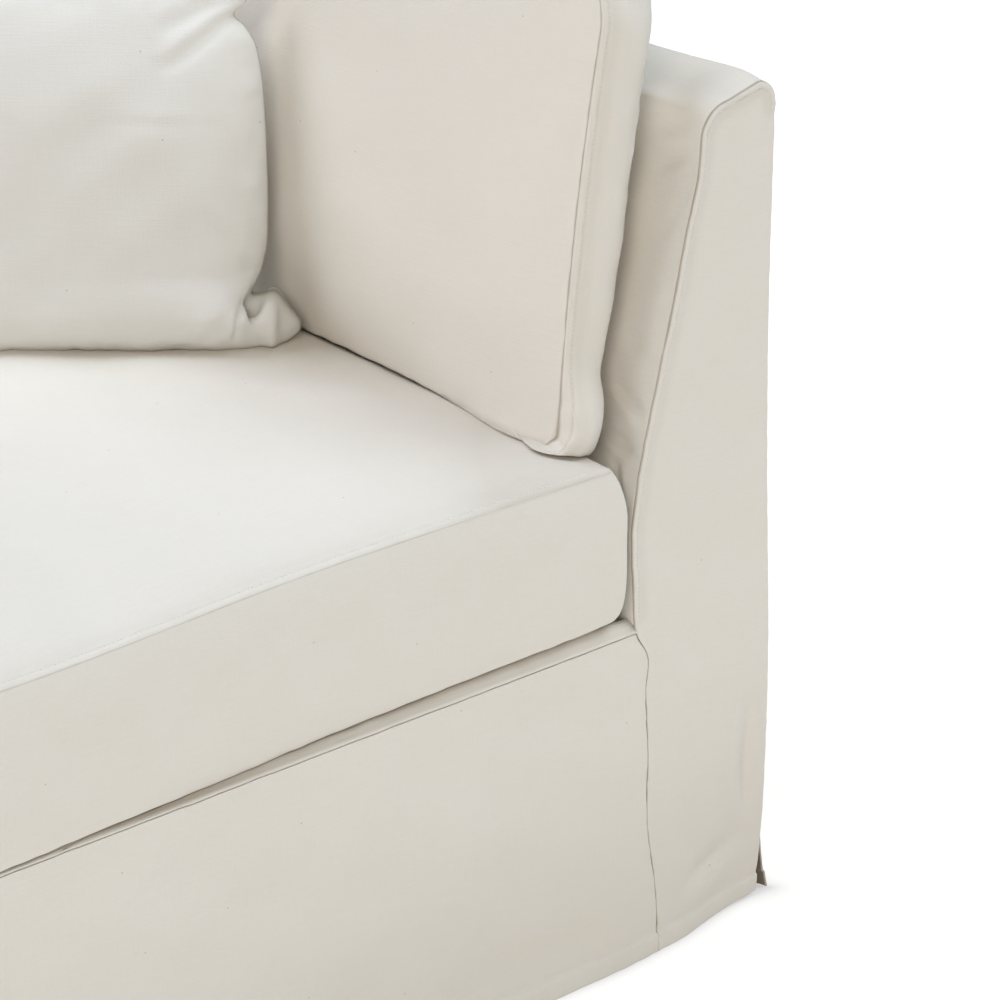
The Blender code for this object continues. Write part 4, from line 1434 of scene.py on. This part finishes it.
@dataclass
class CornerPillow:
    """Knife-edge pillow turned across the corner: two panels sewn face to face, an ear at each corner."""

    node: str = "corner_pillow"
    seat: SeatCushion | None = None
    half: float = 0.179
    half_height: float = 0.172
    tallest: float = 0.203
    fullness: float = 0.122
    seam: float = 0.0030
    cells: int = 132
    heading: float = math.radians(-40.0)
    lean: float = math.radians(-8.0)
    foot: Triple = (0.0802, 0.0625, 0.474)
    rest_gap: float = 0.0003
    fill: float = 0.7
    seed: int = 101
    pull: float = 7.0
    side_rows: tuple[Triple, ...] = (
        (-1.0, 0.209, -0.157), (-0.965, 0.2085, -0.146), (-0.93, 0.2, -0.135), (-0.89, 0.191, -0.124),
        (-0.85, 0.183, -0.121), (-0.8, 0.1725, -0.121), (-0.755, 0.1655, -0.1215), (-0.72, 0.164, -0.118),
        (-0.67, 0.1675, -0.111), (-0.57, 0.1734, -0.098), (-0.436, 0.1785, -0.075),
        (-0.23, 0.1805, -0.0395), (0.18, 0.1798, 0.0308), (0.465, 0.177, 0.08), (0.64, 0.1715, 0.11),
        (0.73, 0.162, 0.126), (0.78, 0.1544, 0.1364), (0.84, 0.1635, 0.148), (0.92, 0.174, 0.1605),
        (1.0, 0.18, 0.171),
    )
    foot_rows: tuple[Triple, ...] = (
        (0.0, 0.0, -0.178), (0.5, 0.0895, -0.178), (0.75, 0.135, -0.177), (0.85, 0.158, -0.175),
        (0.92, 0.18, -0.17), (0.96, 0.195, -0.1665), (1.0, 0.2085, -0.156),
    )
    top_rows: tuple[Triple, ...] = (
        (0.0, 0.0, 0.168), (0.5, 0.0895, 0.167), (0.72, 0.129, 0.16), (0.8, 0.14, 0.156),
        (0.86, 0.151, 0.16), (0.93, 0.1655, 0.166), (1.0, 0.18, 0.171),
    )
    fold_line: Rows = ((-0.152, 0.1672), (-0.142, 0.1628), (-0.132, 0.159), (-0.122, 0.1629), (-0.1, 0.172))
    pocket_line: Rows = ((-0.152, 0.1672), (-0.142, 0.1705), (-0.13, 0.175), (-0.122, 0.179), (-0.1, 0.2))
    fold_width: float = 0.0028
    pocket: float = 0.0230
    pocket_ease: float = 0.0060
    pocket_shift: float = 0.0110
    pocket_shade: float = 0.90
    pocket_rise: Pair = (-0.154, -0.144)
    pocket_fall: Pair = (-0.132, -0.118)
    crowding: float = 0.86
    slimming: Pair = (0.3, 1.3)
    roundness: Pair = (2.8, 12.0)
    roundness_foot: Pair = (0.55, 0.92)
    top_power: float = 2.6
    full_power: float = 0.6
    tuck: Pair = (0.75, 0.25)
    pucker: Triple = (0.0017, 0.050, 0.014)
    pucker_band: Pair = (0.006, 0.014)
    pucker_power: float = 0.3
    hills: Triple = (0.0022, 0.20, 0.05)
    still: float = 0.03
    open_seam: float = 0.010
    rear_start: float = 0.5
    folds: tuple[Crease, ...] = creases(
        (0.159, -0.115, 0.149, -0.156, 0.003, 0.0028, 0.6),
        (0.156, -0.125, 0.118, -0.156, 0.007, 0.0024, 0.5),
        (0.183, -0.116, 0.1815, -0.174, 0.006, -0.008, 0.0),
        (0.16, 0.142, 0.09, 0.09, 0.0065, 0.005, 0.6),
        (0.15, 0.156, 0.085, 0.125, 0.008, 0.003, 0.5),
        (0.17, -0.09, 0.115, -0.035, 0.009, 0.0014, 0.5),
        (0.13, -0.15, 0.02, -0.135, 0.008, 0.0012, 0.5),
        (0.15, 0.04, 0.03, 0.048, 0.005, 0.0008, 0.5),
    )

    def outline(self, a: Array, c: Array) -> Arrays:
        """Places on the pillow's flat outline plane, x across and z up.

        A plain rectangle plus each edge's departure from it, which dies out with a power of the distance;
        where two edges' departures overlap at a corner, the corner's own departure is taken off once.
        """
        ends, one = np.abs(a), np.ones_like(c)
        side, *tips = (
            self.departure(self.side_rows, share, self.half, share * self.half_height)
            for share in (c, -one, one)
        )
        near_side = ends**self.pull
        moved = near_side * side
        for rows, end, tip in zip((self.foot_rows, self.top_rows), (-1, 1), tips):
            edge = self.departure(rows, ends, ends * self.half, end * self.half_height)
            moved = moved + ((1 + end * c) / 2) ** (2 * self.pull) * (edge - near_side * tip)
        return a * self.half + np.sign(a) * moved[0], c * self.half_height + moved[1]

    @staticmethod
    def departure(rows: Sequence[Triple], share: Array, *plain: Array | float) -> Array:
        """How far an edge's table lies from a place on the plain rectangle's edge, across and up."""
        places = (smooth_curve([(row[0], row[k]) for row in rows], share) for k in (1, 2))
        return np.stack([place - level for place, level in zip(places, plain)])

    def thickness_at(self, a: Array, c: Array) -> Array:
        """Full thickness: fat in the middle and at the settled foot, falling to the seam."""
        high = np.clip((c + self.slimming[0]) / self.slimming[1], 0.0, 1.0)
        power = self.roundness[0] + self.roundness[1] * smooth_step(*self.roundness_foot, -c)
        full = np.clip((1 - np.abs(a) ** power) * (1 - high**self.top_power), 0.0, None) ** self.full_power
        tuck = np.clip((-c - self.tuck[0]) / self.tuck[1], 0.0, 1.0)
        return self.seam + self.fullness * full * np.sqrt(1 - tuck**2)

    def placed(self, x: Array, y: Array, z: Array) -> Array:
        """Points turned to the pillow's heading and lean, and kept off the seat."""
        turn = np.array(Euler((self.lean, 0.0, self.heading)).to_matrix())
        local = np.stack([x, y, z + self.tallest], axis=-1)
        return self.on_seat(local @ turn.T + np.array(self.foot))

    def on_seat(self, points: Array) -> Array:
        """Points lifted onto the seat where they would sink into it."""
        points[..., 2] = np.maximum(points[..., 2], self.seat.height_under(points) + self.rest_gap)
        return points

    def shell(self) -> Shell:
        """Front and back grids that share their rim, with seam puckers, soft folds and slow hills."""
        crowded = np.sin(np.linspace(-QUARTER, QUARTER, self.cells + 1) * self.crowding)
        a, c = np.meshgrid(*[crowded / math.sin(QUARTER * self.crowding)] * 2)
        x, z = self.outline(a, c)
        thick = self.thickness_at(a, c)
        points = np.concatenate([self.placed(x, side * thick / 2, z).reshape(-1, 3) for side in (-1, 1)])
        count, rim = a.size, rim_numbers(*a.shape)
        points[rim] = (points[rim] + points[rim + count]) / 2
        front, rear = numbered(*a.shape), numbered(*a.shape, count)
        rear.ravel()[rim] = rim
        flat = np.stack([(a + 1) * self.half, (c + 1) * self.half], axis=-1)
        quads = np.concatenate([quad_corners(front, False), quad_corners(rear, True)])
        rear_uv = quad_corners(flat + self.rear_start, True)
        uv = np.concatenate([quad_corners(flat, False), rear_uv]).reshape(-1, 2)
        distance = np.minimum(1 - np.abs(a), 1 - np.abs(c)) * self.half
        hollow = self.pocket_depth(np.abs(x), z) * smooth_step(0.0, self.open_seam, distance)
        folds = creased(self.folds, np.abs(x), z) - hollow
        height = np.concatenate([(self.cloth_relief(x, z, distance, k) + folds).ravel() for k in (1, 2)])
        # Painted shade in the seam's groove, deepening into the hollow above each lower ear.
        shade = (SEWING.shade(Edge.SEAM, distance) + self.pocket_shade * hollow / self.pocket).ravel()
        shell = Shell(points, quads, uv, height, np.concatenate([shade, shade]))
        shell.raise_relief()
        used = np.ones(2 * count, dtype=bool)
        used[rim + count] = False
        points = self.on_seat(shell.points[used])
        shade = np.maximum(shell.shade[used], self.seat.contact_shade(points))
        return Shell(points, (np.cumsum(used) - 1)[shell.quads], uv, shell.height[used], shade)

    def pocket_depth(self, side: Array, z: Array) -> Array:
        """Three-cornered hollow above each lower ear: steep by the body's folded edge, eased to the ear."""
        z = z - self.pocket_shift
        beyond = side - smooth_curve(self.fold_line, z)
        before = smooth_curve(self.pocket_line, z) - side
        across = smooth_step(0.0, self.fold_width, beyond)
        across = across * smooth_step(-self.pocket_ease, self.pocket_ease / 2, before)
        rise, fall = smooth_step(*self.pocket_rise, z), smooth_step(*self.pocket_fall, z)
        return self.pocket * across * rise * (1 - fall)

    def cloth_relief(self, x: Array, z: Array, distance: Array, number: int) -> Array:
        """Puckers that run in from the seam, and the filling's slow hills."""
        wave = Unevenness(*self.pucker, self.seed).at(x, z)
        hills = Unevenness(*self.hills, self.seed + number).at(x, z)
        quiet = smooth_step(0.0, self.still, distance)
        place, reach = self.pucker_band
        return wave * hill(distance - place, reach) * quiet**self.pucker_power + hills * quiet

    def build(self, cloth: Material) -> int:
        self.shell().build(self.node, cloth, self.fill)
        return 1


# ---- finishes ----

Number = "Sock | float"
MIX_LOW, MIX_HIGH = 6, 7


class Sock:
    """One output socket, with shader arithmetic on it."""

    def __init__(self, book: "NodeBook", socket: bpy.types.NodeSocket) -> None:
        """Keeps the socket and the book that makes its nodes."""
        self.book, self.socket = book, socket

    def maths(self, operation: str, *others: Number, swap: bool = False, clamp: bool = False) -> "Sock":
        """Result of a Math node on this socket and other values."""
        values = [self, *others]
        return self.book.maths(operation, *(values[::-1] if swap else values), clamp=clamp)

    def __add__(self, other: Number) -> "Sock":
        """Sum."""
        return self.maths("ADD", other)

    def __radd__(self, other: Number) -> "Sock":
        """Sum, reflected."""
        return self.maths("ADD", other, swap=True)

    def __sub__(self, other: Number) -> "Sock":
        """Difference."""
        return self.maths("SUBTRACT", other)

    def __rsub__(self, other: Number) -> "Sock":
        """Difference, reflected."""
        return self.maths("SUBTRACT", other, swap=True)

    def __mul__(self, other: Number) -> "Sock":
        """Product."""
        return self.maths("MULTIPLY", other)

    def __rmul__(self, other: Number) -> "Sock":
        """Product, reflected."""
        return self.maths("MULTIPLY", other, swap=True)

    def step_over(self, low: float, high: float) -> "Sock":
        """0 below low and 1 above high, smoothly."""
        settings = {"interpolation_type": "SMOOTHSTEP"}
        inputs = {"Value": self, "From Min": low, "From Max": high}
        return self.book.node("ShaderNodeMapRange", settings, inputs, output="Result")


class NodeBook:
    """Makes the nodes of one material."""

    def __init__(self, name: str) -> None:
        """Starts a material with its Principled shader.

        Args:
            name: The material's name.
        """
        self.material = bpy.data.materials.new(name)
        self.material.use_nodes = True
        self.tree = self.material.node_tree
        self.shader = self.tree.nodes["Principled BSDF"]

    def node(self, kind: str, settings: dict, inputs: dict, output: str | int = 0) -> Sock:
        """Adds a node.

        Args:
            kind: Its type.
            settings: Its properties.
            inputs: Values or sockets by input name or number.
            output: The output wanted.

        Returns:
            That output.
        """
        made = self.tree.nodes.new(kind)
        for key, value in settings.items():
            setattr(made, key, value)
        for key, value in inputs.items():
            self.plug(made.inputs[key], value)
        return Sock(self, made.outputs[output])

    def plug(self, socket: bpy.types.NodeSocket, value: Number | tuple) -> None:
        """Links a socket or sets a plain value on it."""
        if isinstance(value, Sock):
            self.tree.links.new(value.socket, socket)
        else:
            socket.default_value = value

    def maths(self, operation: str, *values: Number, clamp: bool = False) -> Sock:
        """Math node on values in order."""
        settings = {"operation": operation, "use_clamp": clamp}
        return self.node("ShaderNodeMath", settings, dict(enumerate(values)))

    def mixed(self, share: Number, low: Sock | tuple, high: Sock | tuple) -> Sock:
        """Colour between two, at a share from the first to the second."""
        inputs = {"Factor": share, MIX_LOW: low, MIX_HIGH: high}
        return self.node("ShaderNodeMix", {"data_type": "RGBA"}, inputs, output=2)

    def noise(self, place: Sock, stretch: Triple, detail: float = 2.0) -> Sock:
        """Noise about 0, from -0.5 to 0.5, at a place stretched by repeats to a metre."""
        moved = self.node("ShaderNodeVectorMath", {"operation": "MULTIPLY"}, {0: place, 1: stretch})
        inputs = {"Vector": moved, "Scale": 1.0, "Detail": detail, "Roughness": 0.55}
        return self.node("ShaderNodeTexNoise", {}, inputs, output="Fac") - 0.5

    def shade_layer(self) -> Sock:
        """The share of shade that each point of the surface carries."""
        return self.node("ShaderNodeAttribute", {"attribute_name": SHADE_LAYER}, {}, output="Fac")

    def bumped(self, height: Sock) -> None:
        """Bumps the shader's surface by a height in metres."""
        inputs = {"Height": height, "Distance": 1.0, "Strength": 1.0}
        self.plug(self.shader.inputs["Normal"], self.node("ShaderNodeBump", {}, inputs, output="Normal"))

    def constants(self, values: dict[str, float]) -> None:
        """Sets plain values on the shader."""
        for key, value in values.items():
            self.shader.inputs[key].default_value = value


@dataclass(frozen=True)
class WovenCloth:
    """Washed ivory cotton and linen: plain weave, slubs in both yarns, a few neps, and painted shade from
    the shade layer in seams, hollows and crevices and towards the floor.
    """

    name: str = "ivory_cotton_linen"
    colour: Colour = (0.800, 0.770, 0.712, 1.0)
    warm: Colour = (0.745, 0.699, 0.616, 1.0)
    shade: Colour = (0.300, 0.240, 0.170, 1.0)
    fleck: Colour = (0.430, 0.370, 0.290, 1.0)
    slub_length: float = 0.030
    slub_width: float = 0.0016
    slub_tone: float = 0.55
    slub_height: float = 0.00022
    warp_share: float = 0.55
    grain_repeats: Triple = (420.0, 620.0, 1.0)
    grain_tone: float = 0.30
    grain_height: float = 0.8
    mottle_repeats: Triple = (9.0, 14.0, 1.0)
    mottle_tone: float = 0.35
    middle_tone: float = 0.34
    fleck_pitch: float = 0.090
    fleck_size: float = 0.0009
    fleck_core: float = 0.5
    fleck_lot: Pair = (0.74, 0.78)
    fleck_tone: float = 0.75
    seam_tone: float = 0.85
    roughness: float = 0.90
    slub_roughness: float = 0.06
    sheen: float = 0.06

    def material(self) -> Material:
        """Builds the finish."""
        book = NodeBook(self.name)
        cloth = book.node("ShaderNodeUVMap", {"uv_map": WEAVE_UV}, {})
        weft = book.noise(cloth, (1 / self.slub_length, 1 / self.slub_width, 1.0))
        warp = book.noise(cloth, (1 / self.slub_width, 1 / self.slub_length, 1.0))
        grain = book.noise(cloth, self.grain_repeats, detail=1.0)
        mottle = book.noise(cloth, self.mottle_repeats, detail=3.0)
        slubs = weft + self.warp_share * warp
        tone = slubs * self.slub_tone + mottle * self.mottle_tone
        tone = tone + grain * self.grain_tone + self.middle_tone
        worn = book.mixed(tone.maths("MAXIMUM", 0.0, clamp=True), self.colour, self.warm)
        flecked = book.mixed(self.flecks(book, cloth) * self.fleck_tone, worn, self.fleck)
        # Painted shade: the points' shade layer mixes the cloth towards the shade colour.
        shaded = book.mixed(book.shade_layer() * self.seam_tone, flecked, self.shade)
        book.plug(book.shader.inputs["Base Color"], shaded)
        book.plug(book.shader.inputs["Roughness"], self.roughness + slubs * self.slub_roughness)
        book.bumped((slubs + grain * self.grain_height) * self.slub_height)
        book.constants({"Sheen Weight": self.sheen, "Sheen Roughness": 0.5, "Specular IOR Level": 0.25})
        return book.material

    def flecks(self, book: NodeBook, cloth: Sock) -> Sock:
        """Sparse neps: round spots at scattered points, kept in a few cells only."""
        inputs = {"Vector": cloth, "Scale": 1 / self.fleck_pitch, "Randomness": 1.0}
        cells = book.node("ShaderNodeTexVoronoi", {"voronoi_dimensions": "2D"}, inputs, output="Distance")
        lot = Sock(book, cells.socket.node.outputs["Color"])
        chosen = book.node("ShaderNodeSeparateColor", {}, {0: lot}).step_over(*self.fleck_lot)
        size = self.fleck_size / self.fleck_pitch
        return (1.0 - cells.step_over(size * self.fleck_core, size)) * chosen


@dataclass(frozen=True)
class PillowCloth(WovenCloth):
    """The same weave from a whiter, newer piece."""

    name: str = "white_cotton_linen"
    colour: Colour = (0.810, 0.804, 0.772, 1.0)
    warm: Colour = (0.770, 0.750, 0.700, 1.0)


@dataclass(frozen=True)
class ShadedReverse(WovenCloth):
    """Other side of the cloth, painted dark to stand for the shade inside the cover; seen only where a vent
    gapes and from below.
    """

    name: str = "cloth_reverse_painted_shade"
    colour: Colour = (0.120, 0.098, 0.075, 1.0)
    warm: Colour = (0.100, 0.080, 0.060, 1.0)


@dataclass(frozen=True)
class SewingThread:
    """Matt spun thread, a touch lighter than the cloth."""

    name: str = "ivory_thread"
    colour: Colour = (0.830, 0.800, 0.740, 1.0)
    dull: Colour = (0.760, 0.720, 0.650, 1.0)
    repeats: Triple = (260.0, 260.0, 260.0)
    roughness: float = 0.75

    def material(self) -> Material:
        """Builds the finish."""
        book = NodeBook(self.name)
        place = book.node("ShaderNodeTexCoord", {}, {}, output="Object")
        tone = book.noise(place, self.repeats) + 0.5
        book.plug(book.shader.inputs["Base Color"], book.mixed(tone, self.colour, self.dull))
        book.constants({"Roughness": self.roughness, "Specular IOR Level": 0.3})
        return book.material


@dataclass(frozen=True)
class StudioFloor:
    """Pale seamless floor, with a contact shadow painted in a narrow soft band round the hem that nearly
    touches it.
    """

    name: str = "studio_floor"
    colour: Colour = (0.30, 0.30, 0.29, 1.0)
    light: Colour = (1.0, 0.985, 0.97, 1.0)
    painted_shadow: Colour = (0.62, 0.61, 0.605, 1.0)
    glow: float = 0.80

    def material(self) -> Material:
        """Builds the finish."""
        book = NodeBook(self.name)
        book.constants({"Base Color": self.colour, "Roughness": 0.9, "Specular IOR Level": 0.1})
        book.constants({"Emission Strength": self.glow})
        book.plug(book.shader.inputs["Emission Color"], book.mixed(book.shade_layer(), self.light, self.painted_shadow))
        return book.material


# ---- studio ----


@dataclass(frozen=True)
class Lamp:
    """Broad soft lamp far off: its compass place and height in degrees, strength and tint."""

    name: str
    azimuth: float
    elevation: float
    energy: float
    colour: Triple
    spread: float = math.radians(34.0)

    def build(self) -> None:
        """Hangs the lamp."""
        round_about, up = math.radians(self.azimuth), math.radians(self.elevation)
        towards = (math.cos(round_about) * math.cos(up), math.sin(round_about) * math.cos(up), math.sin(up))
        lamp = bpy.data.lights.new(self.name, "SUN")
        lamp.energy = self.energy
        lamp.color = self.colour
        lamp.angle = self.spread
        hung = bpy.data.objects.new(self.name, lamp)
        hung.rotation_euler = Vector(towards).to_track_quat("Z", "Y").to_euler()
        bpy.context.scene.collection.objects.link(hung)


@dataclass(frozen=True)
class Studio:
    """Seamless white room, three broad soft lamps, and the camera."""

    floor_half: float = 14.0
    floor_height: float = -0.0002
    floor_reach: float = 0.009
    floor_cells: int = 90
    hem_swing: float = 0.040
    close_ends: tuple[int, int] = (4, 8)
    lines_to_reach: int = 3
    shadow_end: int = 7
    world_colour: Colour = (1.25, 1.00, 0.72, 1.0)
    world_strength: float = 0.055
    lamps: tuple[Lamp, ...] = (
        Lamp("rear_left_lamp", 135.0, 50.0, 1.33, (0.966, 1.010, 1.150)),
        Lamp("front_left_lamp", 218.0, 30.0, 1.01, (1.082, 1.030, 0.960)),
        Lamp("right_lamp", 330.0, 60.0, 1.68, (0.908, 1.022, 1.130)),
    )
    camera_from: Triple = (-1.5621, -2.4973, 1.6941)
    pitch: float = math.radians(24.0)
    yaw: float = math.radians(40.10)
    lens: float = 126.0
    sensor: float = 36.0

    def build(self) -> None:
        """Sets the floor, the world, the lamps and the camera."""
        x, y = self.floor_lines(SHAPE.left, SHAPE.right), self.floor_lines(SHAPE.front, SHAPE.rear)
        places = np.stack(np.broadcast_arrays(x[None, :], y[:, None], self.floor_height), axis=-1)
        quads = quad_corners(numbered(len(y), len(x)), False)
        # The floor's painted contact shadow, carried in its shade layer.
        near = self.nearness(places[..., 0], places[..., 1])
        floor = make_object("studio_floor", places, quads, shade=near)
        floor.data.materials.append(StudioFloor().material())
        world = bpy.data.worlds.new("studio_room")
        world.use_nodes = True
        background = world.node_tree.nodes["Background"]
        background.inputs["Color"].default_value = self.world_colour
        background.inputs["Strength"].default_value = self.world_strength
        bpy.context.scene.world = world
        for lamp in self.lamps:
            lamp.build()
        self.camera()

    def floor_lines(self, low: float, high: float) -> Array:
        """Grid lines of the floor along one direction: close about the hem, wide elsewhere."""
        within, beyond = (reaches * self.floor_reach for reaches in self.close_ends)
        close = np.arange(-within, self.hem_swing + beyond, self.floor_reach / self.lines_to_reach)
        inside = np.linspace(low + within, high - within, self.floor_cells)[1:-1]
        ends = [-self.floor_half], [self.floor_half]
        return np.concatenate([ends[0], low - close[::-1], inside, high + close, ends[1]])

    def nearness(self, x: Array, y: Array) -> Array:
        """Share of painted contact shadow on the floor, by how near a place is to the hem: exp(-distance
        outside it / reach), cut at its end.
        """
        along_x = np.clip(x, SHAPE.left, SHAPE.right)
        along_y = np.clip(y, SHAPE.front, SHAPE.rear)
        level = np.zeros_like(x)
        out_x = np.maximum(SHAPE.left_x(along_y, level) - x, x - SHAPE.right_x(along_y, level))
        out_y = np.maximum(SHAPE.front_y(along_x, level) - y, y - SHAPE.rear_y(along_x, level))
        away = np.hypot(np.maximum(out_x, 0.0), np.maximum(out_y, 0.0))
        return np.exp(-away / self.floor_reach) * (away < self.shadow_end * self.floor_reach)

    def camera(self) -> None:
        """Sets the camera at standing height, turned to the open corner."""
        eye = bpy.data.cameras.new("eye")
        eye.lens = self.lens
        eye.sensor_width = self.sensor
        held = bpy.data.objects.new("eye", eye)
        held.location = self.camera_from
        held.rotation_euler = (QUARTER - self.pitch, 0.0, -self.yaw)
        bpy.context.scene.collection.objects.link(held)
        bpy.context.scene.camera = held


@dataclass
class LooseCover:
    """The whole set: every panel, the two boxed cushions and the pillow."""

    def panels(self) -> list[Panel]:
        """The cover's nine panels."""
        return [
            BasePanel(),
            BasePanel("left_base_panel", (0.775, 0.350), 15, mirrored=True, width=0.756),
            EndPanel(),
            EndPanel("left_end_panel", seed=25, mirrored=True),
            OutsidePanel(),
            OutsidePanel("rear_outside_panel", (0.975, 0.800), 35, mirrored=True),
            InsideBack(),
            InsideBack("rear_inside_back", (0.952, 0.590), 45, mirrored=True, area=0.490),
            DeckPanel(),
        ]

    def build(self) -> None:
        """Makes the finishes, then every piece in order."""
        cloth, reverse, thread = (kind().material() for kind in (WovenCloth, ShadedReverse, SewingThread))
        for panel in self.panels():
            LOG.info("%s: %d pieces", panel.node, panel.build(cloth, reverse, thread))
        seat = SeatCushion()
        for cushion in (seat, BackCushion(seat=seat)):
            LOG.info("%s: %d pieces", cushion.node, cushion.build(cloth, thread))
        pillow = CornerPillow(seat=seat)
        LOG.info("%s: %d pieces", pillow.node, pillow.build(PillowCloth().material()))


def main() -> None:
    """Builds the cover and the studio round it."""
    logging.basicConfig(level=logging.INFO, format="%(message)s")
    LooseCover().build()
    Studio().build()
    bpy.context.scene.view_settings.view_transform = "Standard"


if __name__ == "__main__":
    main()
